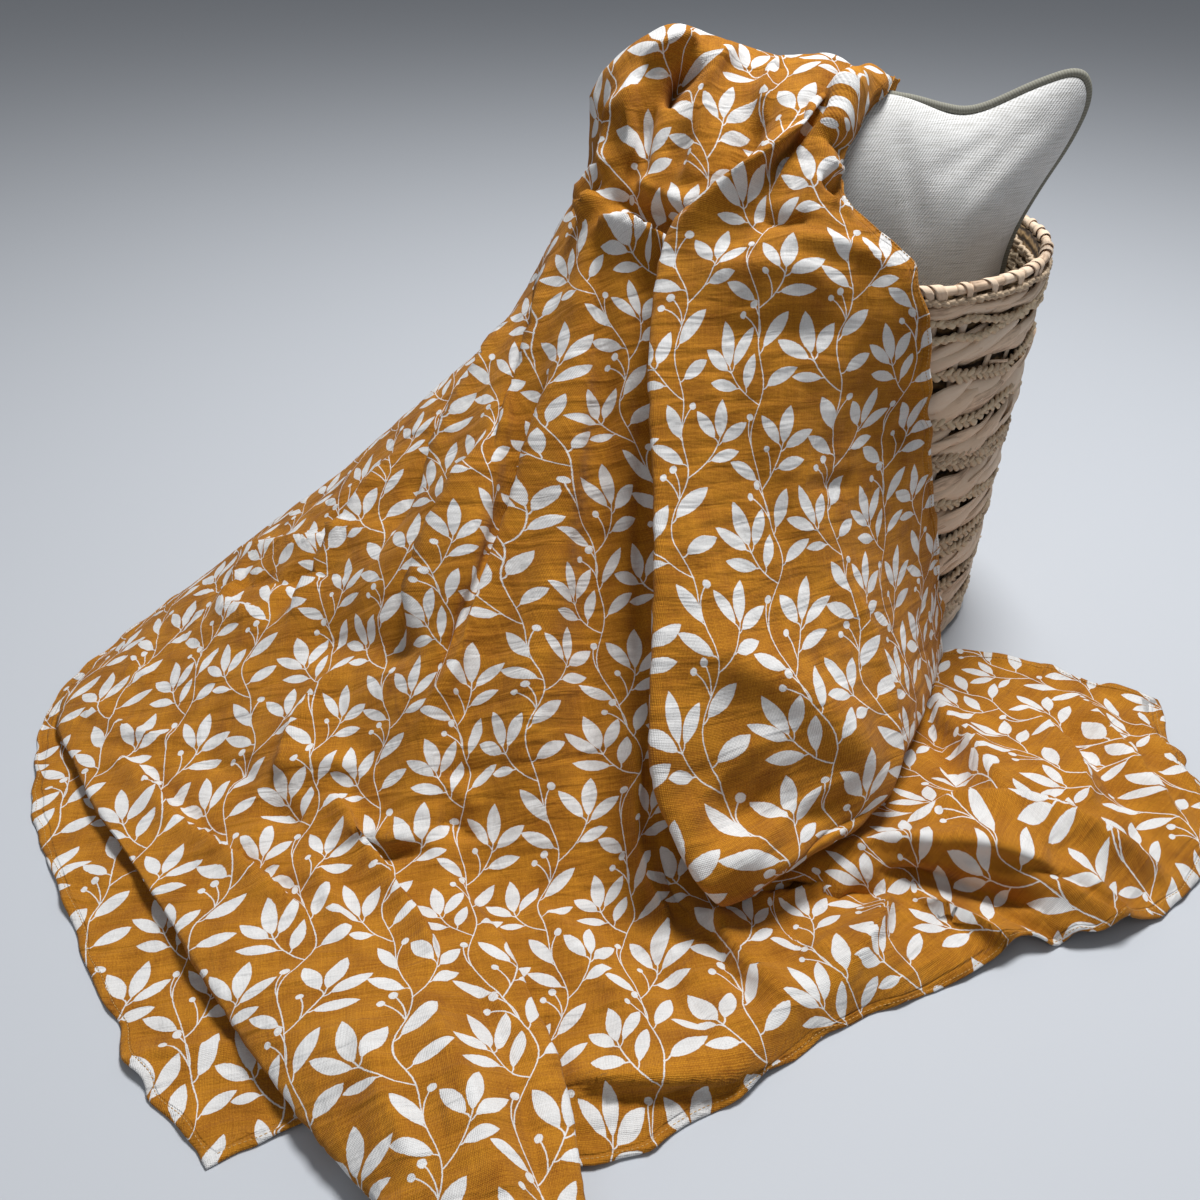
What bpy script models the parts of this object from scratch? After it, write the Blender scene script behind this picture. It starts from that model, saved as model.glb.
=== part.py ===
"""Muslin swaddle blanket draped over a woven basket with a cushion in it.

The blanket is one square of cloth.  It is gathered on top of the cushion, falls over the basket's
rim, stands out from it as a tent and ends in a loose apron on the floor.  The origin is the centre
of the basket's foot, +Z is up and -Y is the side that the drape falls to.
"""
import math
from collections import namedtuple

import bmesh
import bpy
from mathutils import Vector

MM = 0.001

# Basket, in metres.
BASKET_HEIGHT = 0.420
RIM_RADIUS = 0.183
FOOT_RADIUS = 0.165
SHOULDER_RADIUS = 0.169
SHOULDER_HEIGHT = 0.100
WALL = 0.007
RIM_BEAD = 0.006
RIM_OVERHANG = 0.003
FLOOR_THICKNESS = 0.010
BASKET_SIDES = 40

# Cushion, in metres: a 40 cm square that is squeezed where it goes down into the basket.
CUSHION_PLACE = (-0.010, -0.040)
CUSHION_STEPS = 14
CUSHION_FOOT = FLOOR_THICKNESS + 0.0003
CUSHION_TOP = 0.554
CUSHION_EDGE = 0.006
CUSHION_CROWN = 0.062
EAR_HEIGHT = 0.020
# Height of a level and half the cushion's width there.
CUSHION_LEVELS = (
    (0.00, 0.100),
    (0.10, 0.132),
    (0.42, 0.146),
    (0.47, 0.166),
    (0.51, 0.187),
    (0.56, 0.199),
)

# Blanket, in metres.
CLOTH_THICKNESS = 0.0020
ACROSS_STEPS = 4
ALONG_STEPS = 3

# One row for each fold line that runs from the hem at the front to the hem behind, from the left
# selvedge to the right one.  Each entry is a place (x, y, z) in millimetres on the cloth's middle:
#   hem    the front hem, which lies on the floor
#   apron  halfway over the floor, on the humps of the loose cloth
#   tuck   where the cloth turns back under a fold, or simply lies between apron and bend
#   bend   where the cloth leaves the floor, or the lowest turn of the panel on the basket
#   low    a third of the way up the tent
#   high   two thirds of the way up
#   brow   the ridge of the tent, or the basket's rim
#   collar the cloth between the brow and the top of the pile
#   crown  the top of the pile, or the back of the tent
#   tail   the hem behind
FoldLine = namedtuple("FoldLine", "name hem apron tuck bend low high brow collar crown tail")

FOLD_LINES = (
    FoldLine("left_selvedge",
             (-524, -744, 1), (-602, -664, 1), (-655, -590, 1), (-700, -525, 1), (-785, -380, 1),
             (-816, -230, 1), (-735, -26, 5), (-660, 10, 1), (-570, 35, 1), (-480, 60, 1)),
    FoldLine("left_turn_under",
             (-440, -700, 5), (-466, -672, 5), (-524, -606, 5), (-588, -528, 5), (-730, -352, 5),
             (-804, -232, 5), (-715, -28, 16), (-645, 15, 6), (-560, 45, 3), (-470, 72, 1)),
    FoldLine("left_fold",
             (-410, -768, 18), (-470, -712, 20), (-540, -630, 22), (-605, -545, 22), (-745, -365, 18),
             (-793, -240, 14), (-695, -30, 38), (-628, 18, 18), (-550, 50, 7), (-462, 80, 1)),
    FoldLine("lobe_left",
             (-365, -805, 38), (-425, -715, 40), (-490, -625, 34), (-555, -540, 26), (-675, -370, 24),
             (-715, -225, 42), (-630, -32, 90), (-572, 22, 50), (-505, 58, 20), (-440, 88, 1)),
    FoldLine("lobe_top",
             (-320, -825, 48), (-375, -710, 46), (-430, -610, 36), (-490, -525, 26), (-590, -370, 38),
             (-620, -215, 85), (-540, -35, 163), (-495, 24, 110), (-450, 64, 50), (-410, 92, 1)),
    FoldLine("left_hollow",
             (-290, -828, 45), (-335, -700, 42), (-385, -595, 30), (-430, -510, 22), (-505, -365, 58),
             (-520, -205, 140), (-440, -40, 250), (-415, 25, 190), (-390, 68, 95), (-365, 95, 1)),
    FoldLine("crest",
             (-262, -822, 32), (-288, -680, 32), (-335, -575, 22), (-392, -490, 26), (-420, -390, 92),
             (-385, -240, 228), (-345, -45, 345), (-338, 18, 300), (-330, 66, 190), (-318, 95, 60)),
    FoldLine("lobe_turn_under",
             (-296, -756, 6), (-312, -660, 6), (-335, -560, 8), (-368, -490, 14), (-384, -402, 70),
             (-346, -256, 208), (-302, -62, 412), (-288, 5, 418), (-284, 60, 350), (-278, 95, 215)),
    FoldLine("front_left",
             (-225, -728, 1), (-262, -640, 10), (-292, -560, 6), (-322, -495, 10), (-330, -408, 84),
             (-300, -258, 226), (-272, -88, 444), (-254, -22, 486), (-262, 30, 522), (-255, 92, 420)),
    FoldLine("front_middle",
             (-150, -682, 1), (-192, -618, 12), (-232, -555, 6), (-262, -500, 8), (-272, -410, 76),
             (-268, -262, 208), (-256, -100, 440), (-238, -46, 520), (-244, 12, 568), (-232, 88, 470)),
    FoldLine("front_right",
             (-72, -628, 1), (-128, -590, 16), (-178, -548, 10), (-216, -502, 10), (-232, -418, 76),
             (-234, -272, 198), (-236, -114, 432), (-208, -76, 508), (-196, 10, 600), (-188, 80, 500)),
    FoldLine("valley",
             (0, -595, 1), (-62, -575, 26), (-128, -540, 16), (-182, -500, 12), (-198, -422, 74),
             (-204, -282, 190), (-212, -120, 414), (-184, -86, 500), (-146, 10, 590), (-140, 78, 500)),
    FoldLine("hidden_turn",
             (75, -560, 10), (18, -520, 8), (-52, -498, 4), (-122, -474, 10), (-150, -414, 84),
             (-160, -296, 210), (-180, -138, 422), (-152, -112, 508), (-96, 5, 574), (-96, 75, 500)),
    FoldLine("panel_left",
             (150, -548, 12), (58, -492, 38), (-112, -500, 22), (-168, -545, 48), (-213, -484, 120),
             (-210, -348, 243), (-204, -152, 437), (-112, -116, 526), (-50, -22, 579), (-50, 70, 505)),
    FoldLine("panel_hollow",
             (232, -505, 1), (112, -462, 46), (-92, -470, 28), (-102, -528, 64), (-138, -452, 140),
             (-148, -330, 250), (-150, -188, 427), (-90, -120, 506), (-28, -32, 572), (-18, 65, 495)),
    FoldLine("panel_middle",
             (292, -430, 12), (165, -402, 26), (-44, -415, 24), (-22, -455, 60), (-64, -396, 150),
             (-84, -300, 262), (-92, -212, 434), (-70, -144, 512), (-14, -36, 574), (0, 60, 485)),
    FoldLine("panel_right",
             (300, -335, 6), (200, -300, 14), (18, -290, 12), (48, -318, 50), (14, -280, 160),
             (-14, -235, 282), (-32, -208, 431), (-52, -132, 500), (0, -40, 566), (15, 55, 478)),
    FoldLine("right_selvedge",
             (314, -238, 1), (215, -182, 4), (130, -152, 4), (106, -170, 20), (82, -182, 130),
             (46, -194, 290), (18, -199, 427), (-48, -120, 496), (12, -30, 560), (30, 50, 470)),
)


# Puffs of loose cloth: a row for each, with the fold line (counted from 0) and the station that it
# is centred on, how far it reaches along both, and how far it rises and is pushed forward, in mm.
Puff = namedtuple("Puff", "name line line_reach station station_reach rise forward")

PUFFS = (
    Puff("front_lip", 9.2, 2.6, 0.55, 0.50, 16, 12),
    Puff("left_star", 4.7, 0.8, 3.9, 0.6, 14, 0),
    Puff("pinch_ridge", 10.5, 0.6, 3.0, 1.2, 9, 4),
    Puff("wing_ridge", 15.4, 0.7, 0.9, 0.8, 10, 0),
    Puff("slope_fold", 6.2, 0.6, 5.2, 0.9, 8, 10),
)


def clear_scene():
    """Remove every object of the scene."""
    for item in list(bpy.data.objects):
        bpy.data.objects.remove(item, do_unlink=True)


def principled(name, colour, roughness):
    """A plain material of one colour."""
    material = bpy.data.materials.new(name)
    material.use_nodes = True
    shader = material.node_tree.nodes["Principled BSDF"]
    shader.inputs["Base Color"].default_value = (*colour, 1.0)
    shader.inputs["Roughness"].default_value = roughness
    shader.inputs["Metallic"].default_value = 0.0
    return material


def new_object(name, vertices, faces, material, collection):
    """A mesh object made from vertices and faces."""
    mesh = bpy.data.meshes.new(name)
    mesh.from_pydata(vertices, [], faces)
    mesh.materials.append(material)
    thing = bpy.data.objects.new(name, mesh)
    collection.objects.link(thing)
    return thing


def curve_point(points, place):
    """The point at a place from 0 to len(points) - 1 on a smooth curve through the points."""
    last = len(points) - 1
    start = min(int(place), last - 1)
    t = place - start
    before = points[max(start - 1, 0)]
    first = points[start]
    second = points[start + 1]
    after = points[min(start + 2, last)]
    leave = (second - before) / 2
    arrive = (after - first) / 2
    return (first * (2 * t**3 - 3 * t**2 + 1) + leave * (t**3 - 2 * t**2 + t)
            + second * (3 * t**2 - 2 * t**3) + arrive * (t**3 - t**2))


def hump(offset, reach):
    """A smooth hump: 1 in the middle and 0 from its reach on."""
    share = offset / reach
    if abs(share) >= 1:
        return 0.0
    return (1 - share**2)**2


def puffed(point, line, station):
    """A point of the cloth moved by the puffs that reach it."""
    moved = point.copy()
    for puff in PUFFS:
        size = hump(line - puff.line, puff.line_reach) * hump(station - puff.station, puff.station_reach)
        moved.z += puff.rise * MM * size
        moved.y -= puff.forward * MM * size
    return moved


def cloth_grid():
    """Rows of points on the middle of the cloth, from selvedge to selvedge."""
    lines = [[Vector(place) * MM for place in line[1:]] for line in FOLD_LINES]
    stations = len(lines[0])
    along = [i / ALONG_STEPS for i in range((stations - 1) * ALONG_STEPS + 1)]
    across = [i / ACROSS_STEPS for i in range((len(lines) - 1) * ACROSS_STEPS + 1)]
    finer = [[curve_point(line, place) for place in along] for line in lines]
    grid = [[curve_point([line[i] for line in finer], place) for i in range(len(along))]
            for place in across]
    grid = [[puffed(point, line, station) for point, station in zip(row, along)]
            for row, line in zip(grid, across)]
    lowest = CLOTH_THICKNESS / 2
    for row in grid:
        for point in row:
            point.z = max(point.z, lowest)
    return grid


def build_blanket(collection):
    """The blanket: a sheet through its fold lines, thickened to both sides."""
    grid = cloth_grid()
    rows = len(grid)
    columns = len(grid[0])
    vertices = [point for row in grid for point in row]
    faces = [(r * columns + c, r * columns + c + 1, (r + 1) * columns + c + 1, (r + 1) * columns + c)
             for r in range(rows - 1) for c in range(columns - 1)]
    material = principled("ochre_muslin", (0.50, 0.22, 0.035), 0.9)
    blanket = new_object("blanket", vertices, faces, material, collection)
    solidify = blanket.modifiers.new("thickness", "SOLIDIFY")
    solidify.thickness = CLOTH_THICKNESS
    solidify.offset = 0.0
    blanket.data.shade_smooth()
    return blanket


def build_basket(collection):
    """The basket: a turned, slightly flared pail with a flat floor and a rolled rim."""
    inner_rim = RIM_RADIUS - WALL
    under_bead = BASKET_HEIGHT - 3 * RIM_BEAD
    inner_foot = FOOT_RADIUS - WALL
    profile = [
        (0.0, FLOOR_THICKNESS),
        (inner_foot, FLOOR_THICKNESS),
        (inner_rim, BASKET_HEIGHT - RIM_BEAD),
        (inner_rim + WALL / 2, BASKET_HEIGHT),
        (RIM_RADIUS + RIM_OVERHANG, BASKET_HEIGHT - RIM_BEAD),
        (RIM_RADIUS, under_bead),
        (SHOULDER_RADIUS, SHOULDER_HEIGHT),
        (FOOT_RADIUS, 0.0),
        (0.0, 0.0),
    ]
    vertices = [(radius, 0.0, height) for radius, height in profile]
    edges = [(i, i + 1) for i in range(len(profile) - 1)]
    mesh = bpy.data.meshes.new("basket")
    mesh.from_pydata(vertices, edges, [])
    mesh.materials.append(principled("woven_seagrass", (0.45, 0.33, 0.19), 0.85))
    basket = bpy.data.objects.new("basket", mesh)
    collection.objects.link(basket)
    screw = basket.modifiers.new("turn", "SCREW")
    screw.axis = "Z"
    screw.steps = BASKET_SIDES
    screw.render_steps = BASKET_SIDES
    screw.use_merge_vertices = True
    screw.merge_threshold = 0.0001
    return basket


def cushion_half_width(height):
    """Half the cushion's width at a height, between the levels of the table."""
    for (low, narrow), (high, wide) in zip(CUSHION_LEVELS, CUSHION_LEVELS[1:]):
        if height <= high:
            share = (height - low) / (high - low)
            return narrow + (wide - narrow) * share
    return CUSHION_LEVELS[-1][1]


def cushion_point(across, up, side):
    """A point of the cushion's skin: across and up run from -1 to 1, side is -1 at the front."""
    top = CUSHION_TOP + EAR_HEIGHT * across**3
    height = CUSHION_FOOT + (top - CUSHION_FOOT) * (up + 1) / 2
    bulge = max(0.0, (1 - across**4) * (1 - up**4))
    depth = CUSHION_EDGE + CUSHION_CROWN * math.sqrt(bulge)
    centre_x, centre_y = CUSHION_PLACE
    return (centre_x + across * cushion_half_width(height), centre_y + side * depth, height)


def build_cushion(collection):
    """The cushion: two crowned faces that meet at a thin edge, with corners that stand out."""
    shape = bmesh.new()
    bmesh.ops.create_grid(shape, x_segments=CUSHION_STEPS, y_segments=CUSHION_STEPS, size=1.0)
    copied = bmesh.ops.extrude_face_region(shape, geom=shape.faces[:], use_keep_orig=True)
    front = {item for item in copied["geom"] if isinstance(item, bmesh.types.BMVert)}
    for vertex in shape.verts:
        side = -1 if vertex in front else 1
        vertex.co = cushion_point(vertex.co.x, vertex.co.y, side)
    bmesh.ops.recalc_face_normals(shape, faces=shape.faces[:])
    mesh = bpy.data.meshes.new("cushion")
    shape.to_mesh(mesh)
    shape.free()
    mesh.materials.append(principled("natural_linen", (0.62, 0.60, 0.55), 0.9))
    mesh.shade_smooth()
    cushion = bpy.data.objects.new("cushion", mesh)
    collection.objects.link(cushion)
    return cushion


def main():
    """Build the whole part."""
    clear_scene()
    collection = bpy.data.collections.new("swaddle_blanket_over_basket")
    bpy.context.scene.collection.children.link(collection)
    build_basket(collection)
    build_cushion(collection)
    build_blanket(collection)


if __name__ == "__main__":
    main()
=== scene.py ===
"""Printed muslin swaddle blanket draped over a woven basket that holds a linen cushion.

Every size is in metres unless its name says mm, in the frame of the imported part: the origin is the
centre of the basket's foot, +Z is up and -Y is the side that the blanket falls to.
"""
import math
import random
from collections import namedtuple

import bpy
import numpy as np
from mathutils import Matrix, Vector, noise


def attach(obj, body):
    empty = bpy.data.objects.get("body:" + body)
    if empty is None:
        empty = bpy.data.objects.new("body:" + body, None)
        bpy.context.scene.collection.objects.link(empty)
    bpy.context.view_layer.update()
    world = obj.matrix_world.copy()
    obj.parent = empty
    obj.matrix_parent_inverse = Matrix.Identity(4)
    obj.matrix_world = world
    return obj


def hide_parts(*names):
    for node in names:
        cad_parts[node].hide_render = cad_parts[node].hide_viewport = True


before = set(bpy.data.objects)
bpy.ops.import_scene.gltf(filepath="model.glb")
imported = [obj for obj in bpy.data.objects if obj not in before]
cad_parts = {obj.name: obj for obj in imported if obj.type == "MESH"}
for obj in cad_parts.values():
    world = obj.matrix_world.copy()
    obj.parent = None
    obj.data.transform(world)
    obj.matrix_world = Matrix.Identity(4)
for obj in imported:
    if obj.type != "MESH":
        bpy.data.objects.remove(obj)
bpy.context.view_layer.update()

bl_info = {
    "name": "Swaddle blanket over a basket",
    "version": (1, 0, 0),
    "blender": (4, 5, 0),
    "location": "3D View > Sidebar > Swaddle",
    "description": "Builds a printed muslin swaddle draped over a woven basket with a cushion",
    "category": "Object",
}

MM = 0.001
TURN = 2 * math.pi

# ---- The blanket's folds ----
# Each fold line from the hem at the front to the hem behind, as in the part's source, in millimetres
# on the cloth's middle.  Its stations are hem, apron, tuck, bend, low, high, brow, collar, crown
# and tail.
FOLD_LINES = {
    "left_selvedge": (
        (-524, -744, 1), (-602, -664, 1), (-655, -590, 1), (-700, -525, 1), (-785, -380, 1),
        (-816, -230, 1), (-735, -26, 5), (-660, 10, 1), (-570, 35, 1), (-480, 60, 1)),
    "left_turn_under": (
        (-440, -700, 5), (-466, -672, 5), (-524, -606, 5), (-588, -528, 5), (-730, -352, 5),
        (-804, -232, 5), (-715, -28, 16), (-645, 15, 6), (-560, 45, 3), (-470, 72, 1)),
    "left_fold": (
        (-410, -768, 18), (-470, -712, 20), (-540, -630, 22), (-605, -545, 22), (-745, -365, 18),
        (-793, -240, 14), (-695, -30, 38), (-628, 18, 18), (-550, 50, 7), (-462, 80, 1)),
    "lobe_left": (
        (-365, -805, 38), (-425, -715, 40), (-490, -625, 34), (-555, -540, 26), (-675, -370, 24),
        (-715, -225, 42), (-630, -32, 90), (-572, 22, 50), (-505, 58, 20), (-440, 88, 1)),
    "lobe_top": (
        (-320, -825, 48), (-375, -710, 46), (-430, -610, 36), (-490, -525, 26), (-590, -370, 38),
        (-620, -215, 85), (-540, -35, 163), (-495, 24, 110), (-450, 64, 50), (-410, 92, 1)),
    "left_hollow": (
        (-290, -828, 45), (-335, -700, 42), (-385, -595, 30), (-430, -510, 22), (-505, -365, 58),
        (-520, -205, 140), (-440, -40, 250), (-415, 25, 190), (-390, 68, 95), (-365, 95, 1)),
    "crest": (
        (-262, -822, 32), (-288, -680, 32), (-335, -575, 22), (-392, -490, 26), (-420, -390, 92),
        (-385, -240, 228), (-345, -45, 345), (-338, 18, 300), (-330, 66, 190), (-318, 95, 60)),
    "lobe_turn_under": (
        (-296, -756, 6), (-312, -660, 6), (-335, -560, 8), (-368, -490, 14), (-384, -402, 70),
        (-346, -256, 208), (-302, -62, 412), (-288, 5, 418), (-284, 60, 350), (-278, 95, 215)),
    "front_left": (
        (-225, -728, 1), (-262, -640, 10), (-292, -560, 6), (-322, -495, 10), (-330, -408, 84),
        (-300, -258, 226), (-272, -88, 444), (-254, -22, 486), (-262, 30, 522), (-255, 92, 420)),
    "front_middle": (
        (-150, -682, 1), (-192, -618, 12), (-232, -555, 6), (-262, -500, 8), (-272, -410, 76),
        (-268, -262, 208), (-256, -100, 440), (-238, -46, 520), (-244, 12, 568), (-232, 88, 470)),
    "front_right": (
        (-72, -628, 1), (-128, -590, 16), (-178, -548, 10), (-216, -502, 10), (-232, -418, 76),
        (-234, -272, 198), (-236, -114, 432), (-208, -76, 508), (-196, 10, 600), (-188, 80, 500)),
    "valley": (
        (0, -595, 1), (-62, -575, 26), (-128, -540, 16), (-182, -500, 12), (-198, -422, 74),
        (-204, -282, 190), (-212, -120, 414), (-184, -86, 500), (-146, 10, 590), (-140, 78, 500)),
    "hidden_turn": (
        (75, -560, 10), (18, -520, 8), (-52, -498, 4), (-122, -474, 10), (-150, -414, 84),
        (-160, -296, 210), (-180, -138, 422), (-152, -112, 508), (-96, 5, 574), (-96, 75, 500)),
    "panel_left": (
        (150, -548, 12), (58, -492, 38), (-112, -500, 22), (-168, -545, 48), (-213, -484, 120),
        (-210, -348, 243), (-204, -152, 437), (-112, -116, 526), (-50, -22, 579), (-50, 70, 505)),
    "panel_hollow": (
        (232, -505, 1), (112, -462, 46), (-92, -470, 28), (-102, -528, 64), (-138, -452, 140),
        (-148, -330, 250), (-150, -188, 427), (-90, -120, 506), (-28, -32, 572), (-18, 65, 495)),
    "panel_middle": (
        (292, -430, 12), (165, -402, 26), (-44, -415, 24), (-22, -455, 60), (-64, -396, 150),
        (-84, -300, 262), (-92, -212, 434), (-70, -144, 512), (-14, -36, 574), (0, 60, 485)),
    "panel_right": (
        (300, -335, 6), (200, -300, 14), (18, -290, 12), (48, -318, 50), (14, -280, 160),
        (-14, -235, 282), (-32, -208, 431), (-52, -132, 500), (0, -40, 566), (15, 55, 478)),
    "right_selvedge": (
        (314, -238, 1), (215, -182, 4), (130, -152, 4), (106, -170, 20), (82, -182, 130),
        (46, -194, 290), (18, -199, 427), (-48, -120, 496), (12, -30, 560), (30, 50, 470)),
}

# Puffs of loose cloth, as in the part's source: the fold line and the station that each is centred
# on, how far it reaches along both, and how far it rises and is pushed forward, in mm.
Puff = namedtuple("Puff", "name line line_reach station station_reach rise forward")

PUFFS = (
    Puff("front_lip", 9.2, 2.6, 0.55, 0.50, 16, 12),
    Puff("left_star", 4.7, 0.8, 3.9, 0.6, 14, 0),
    Puff("pinch_ridge", 10.5, 0.6, 3.0, 1.2, 9, 4),
    Puff("wing_ridge", 15.4, 0.7, 0.9, 0.8, 10, 0),
    Puff("slope_fold", 6.2, 0.6, 5.2, 0.9, 8, 10),
)

# Main creases: a soft ridge (height above 0) or trough (below 0) along a smooth path
# of places on the cloth, each given as fold line and station.  Width and height are in mm, and
# steep says how far the crease leans over to the left of its path, as a share of its height, and
# how much narrower its slope is there (to the right below 0).
Crease = namedtuple("Crease", "name width height steep path")

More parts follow.
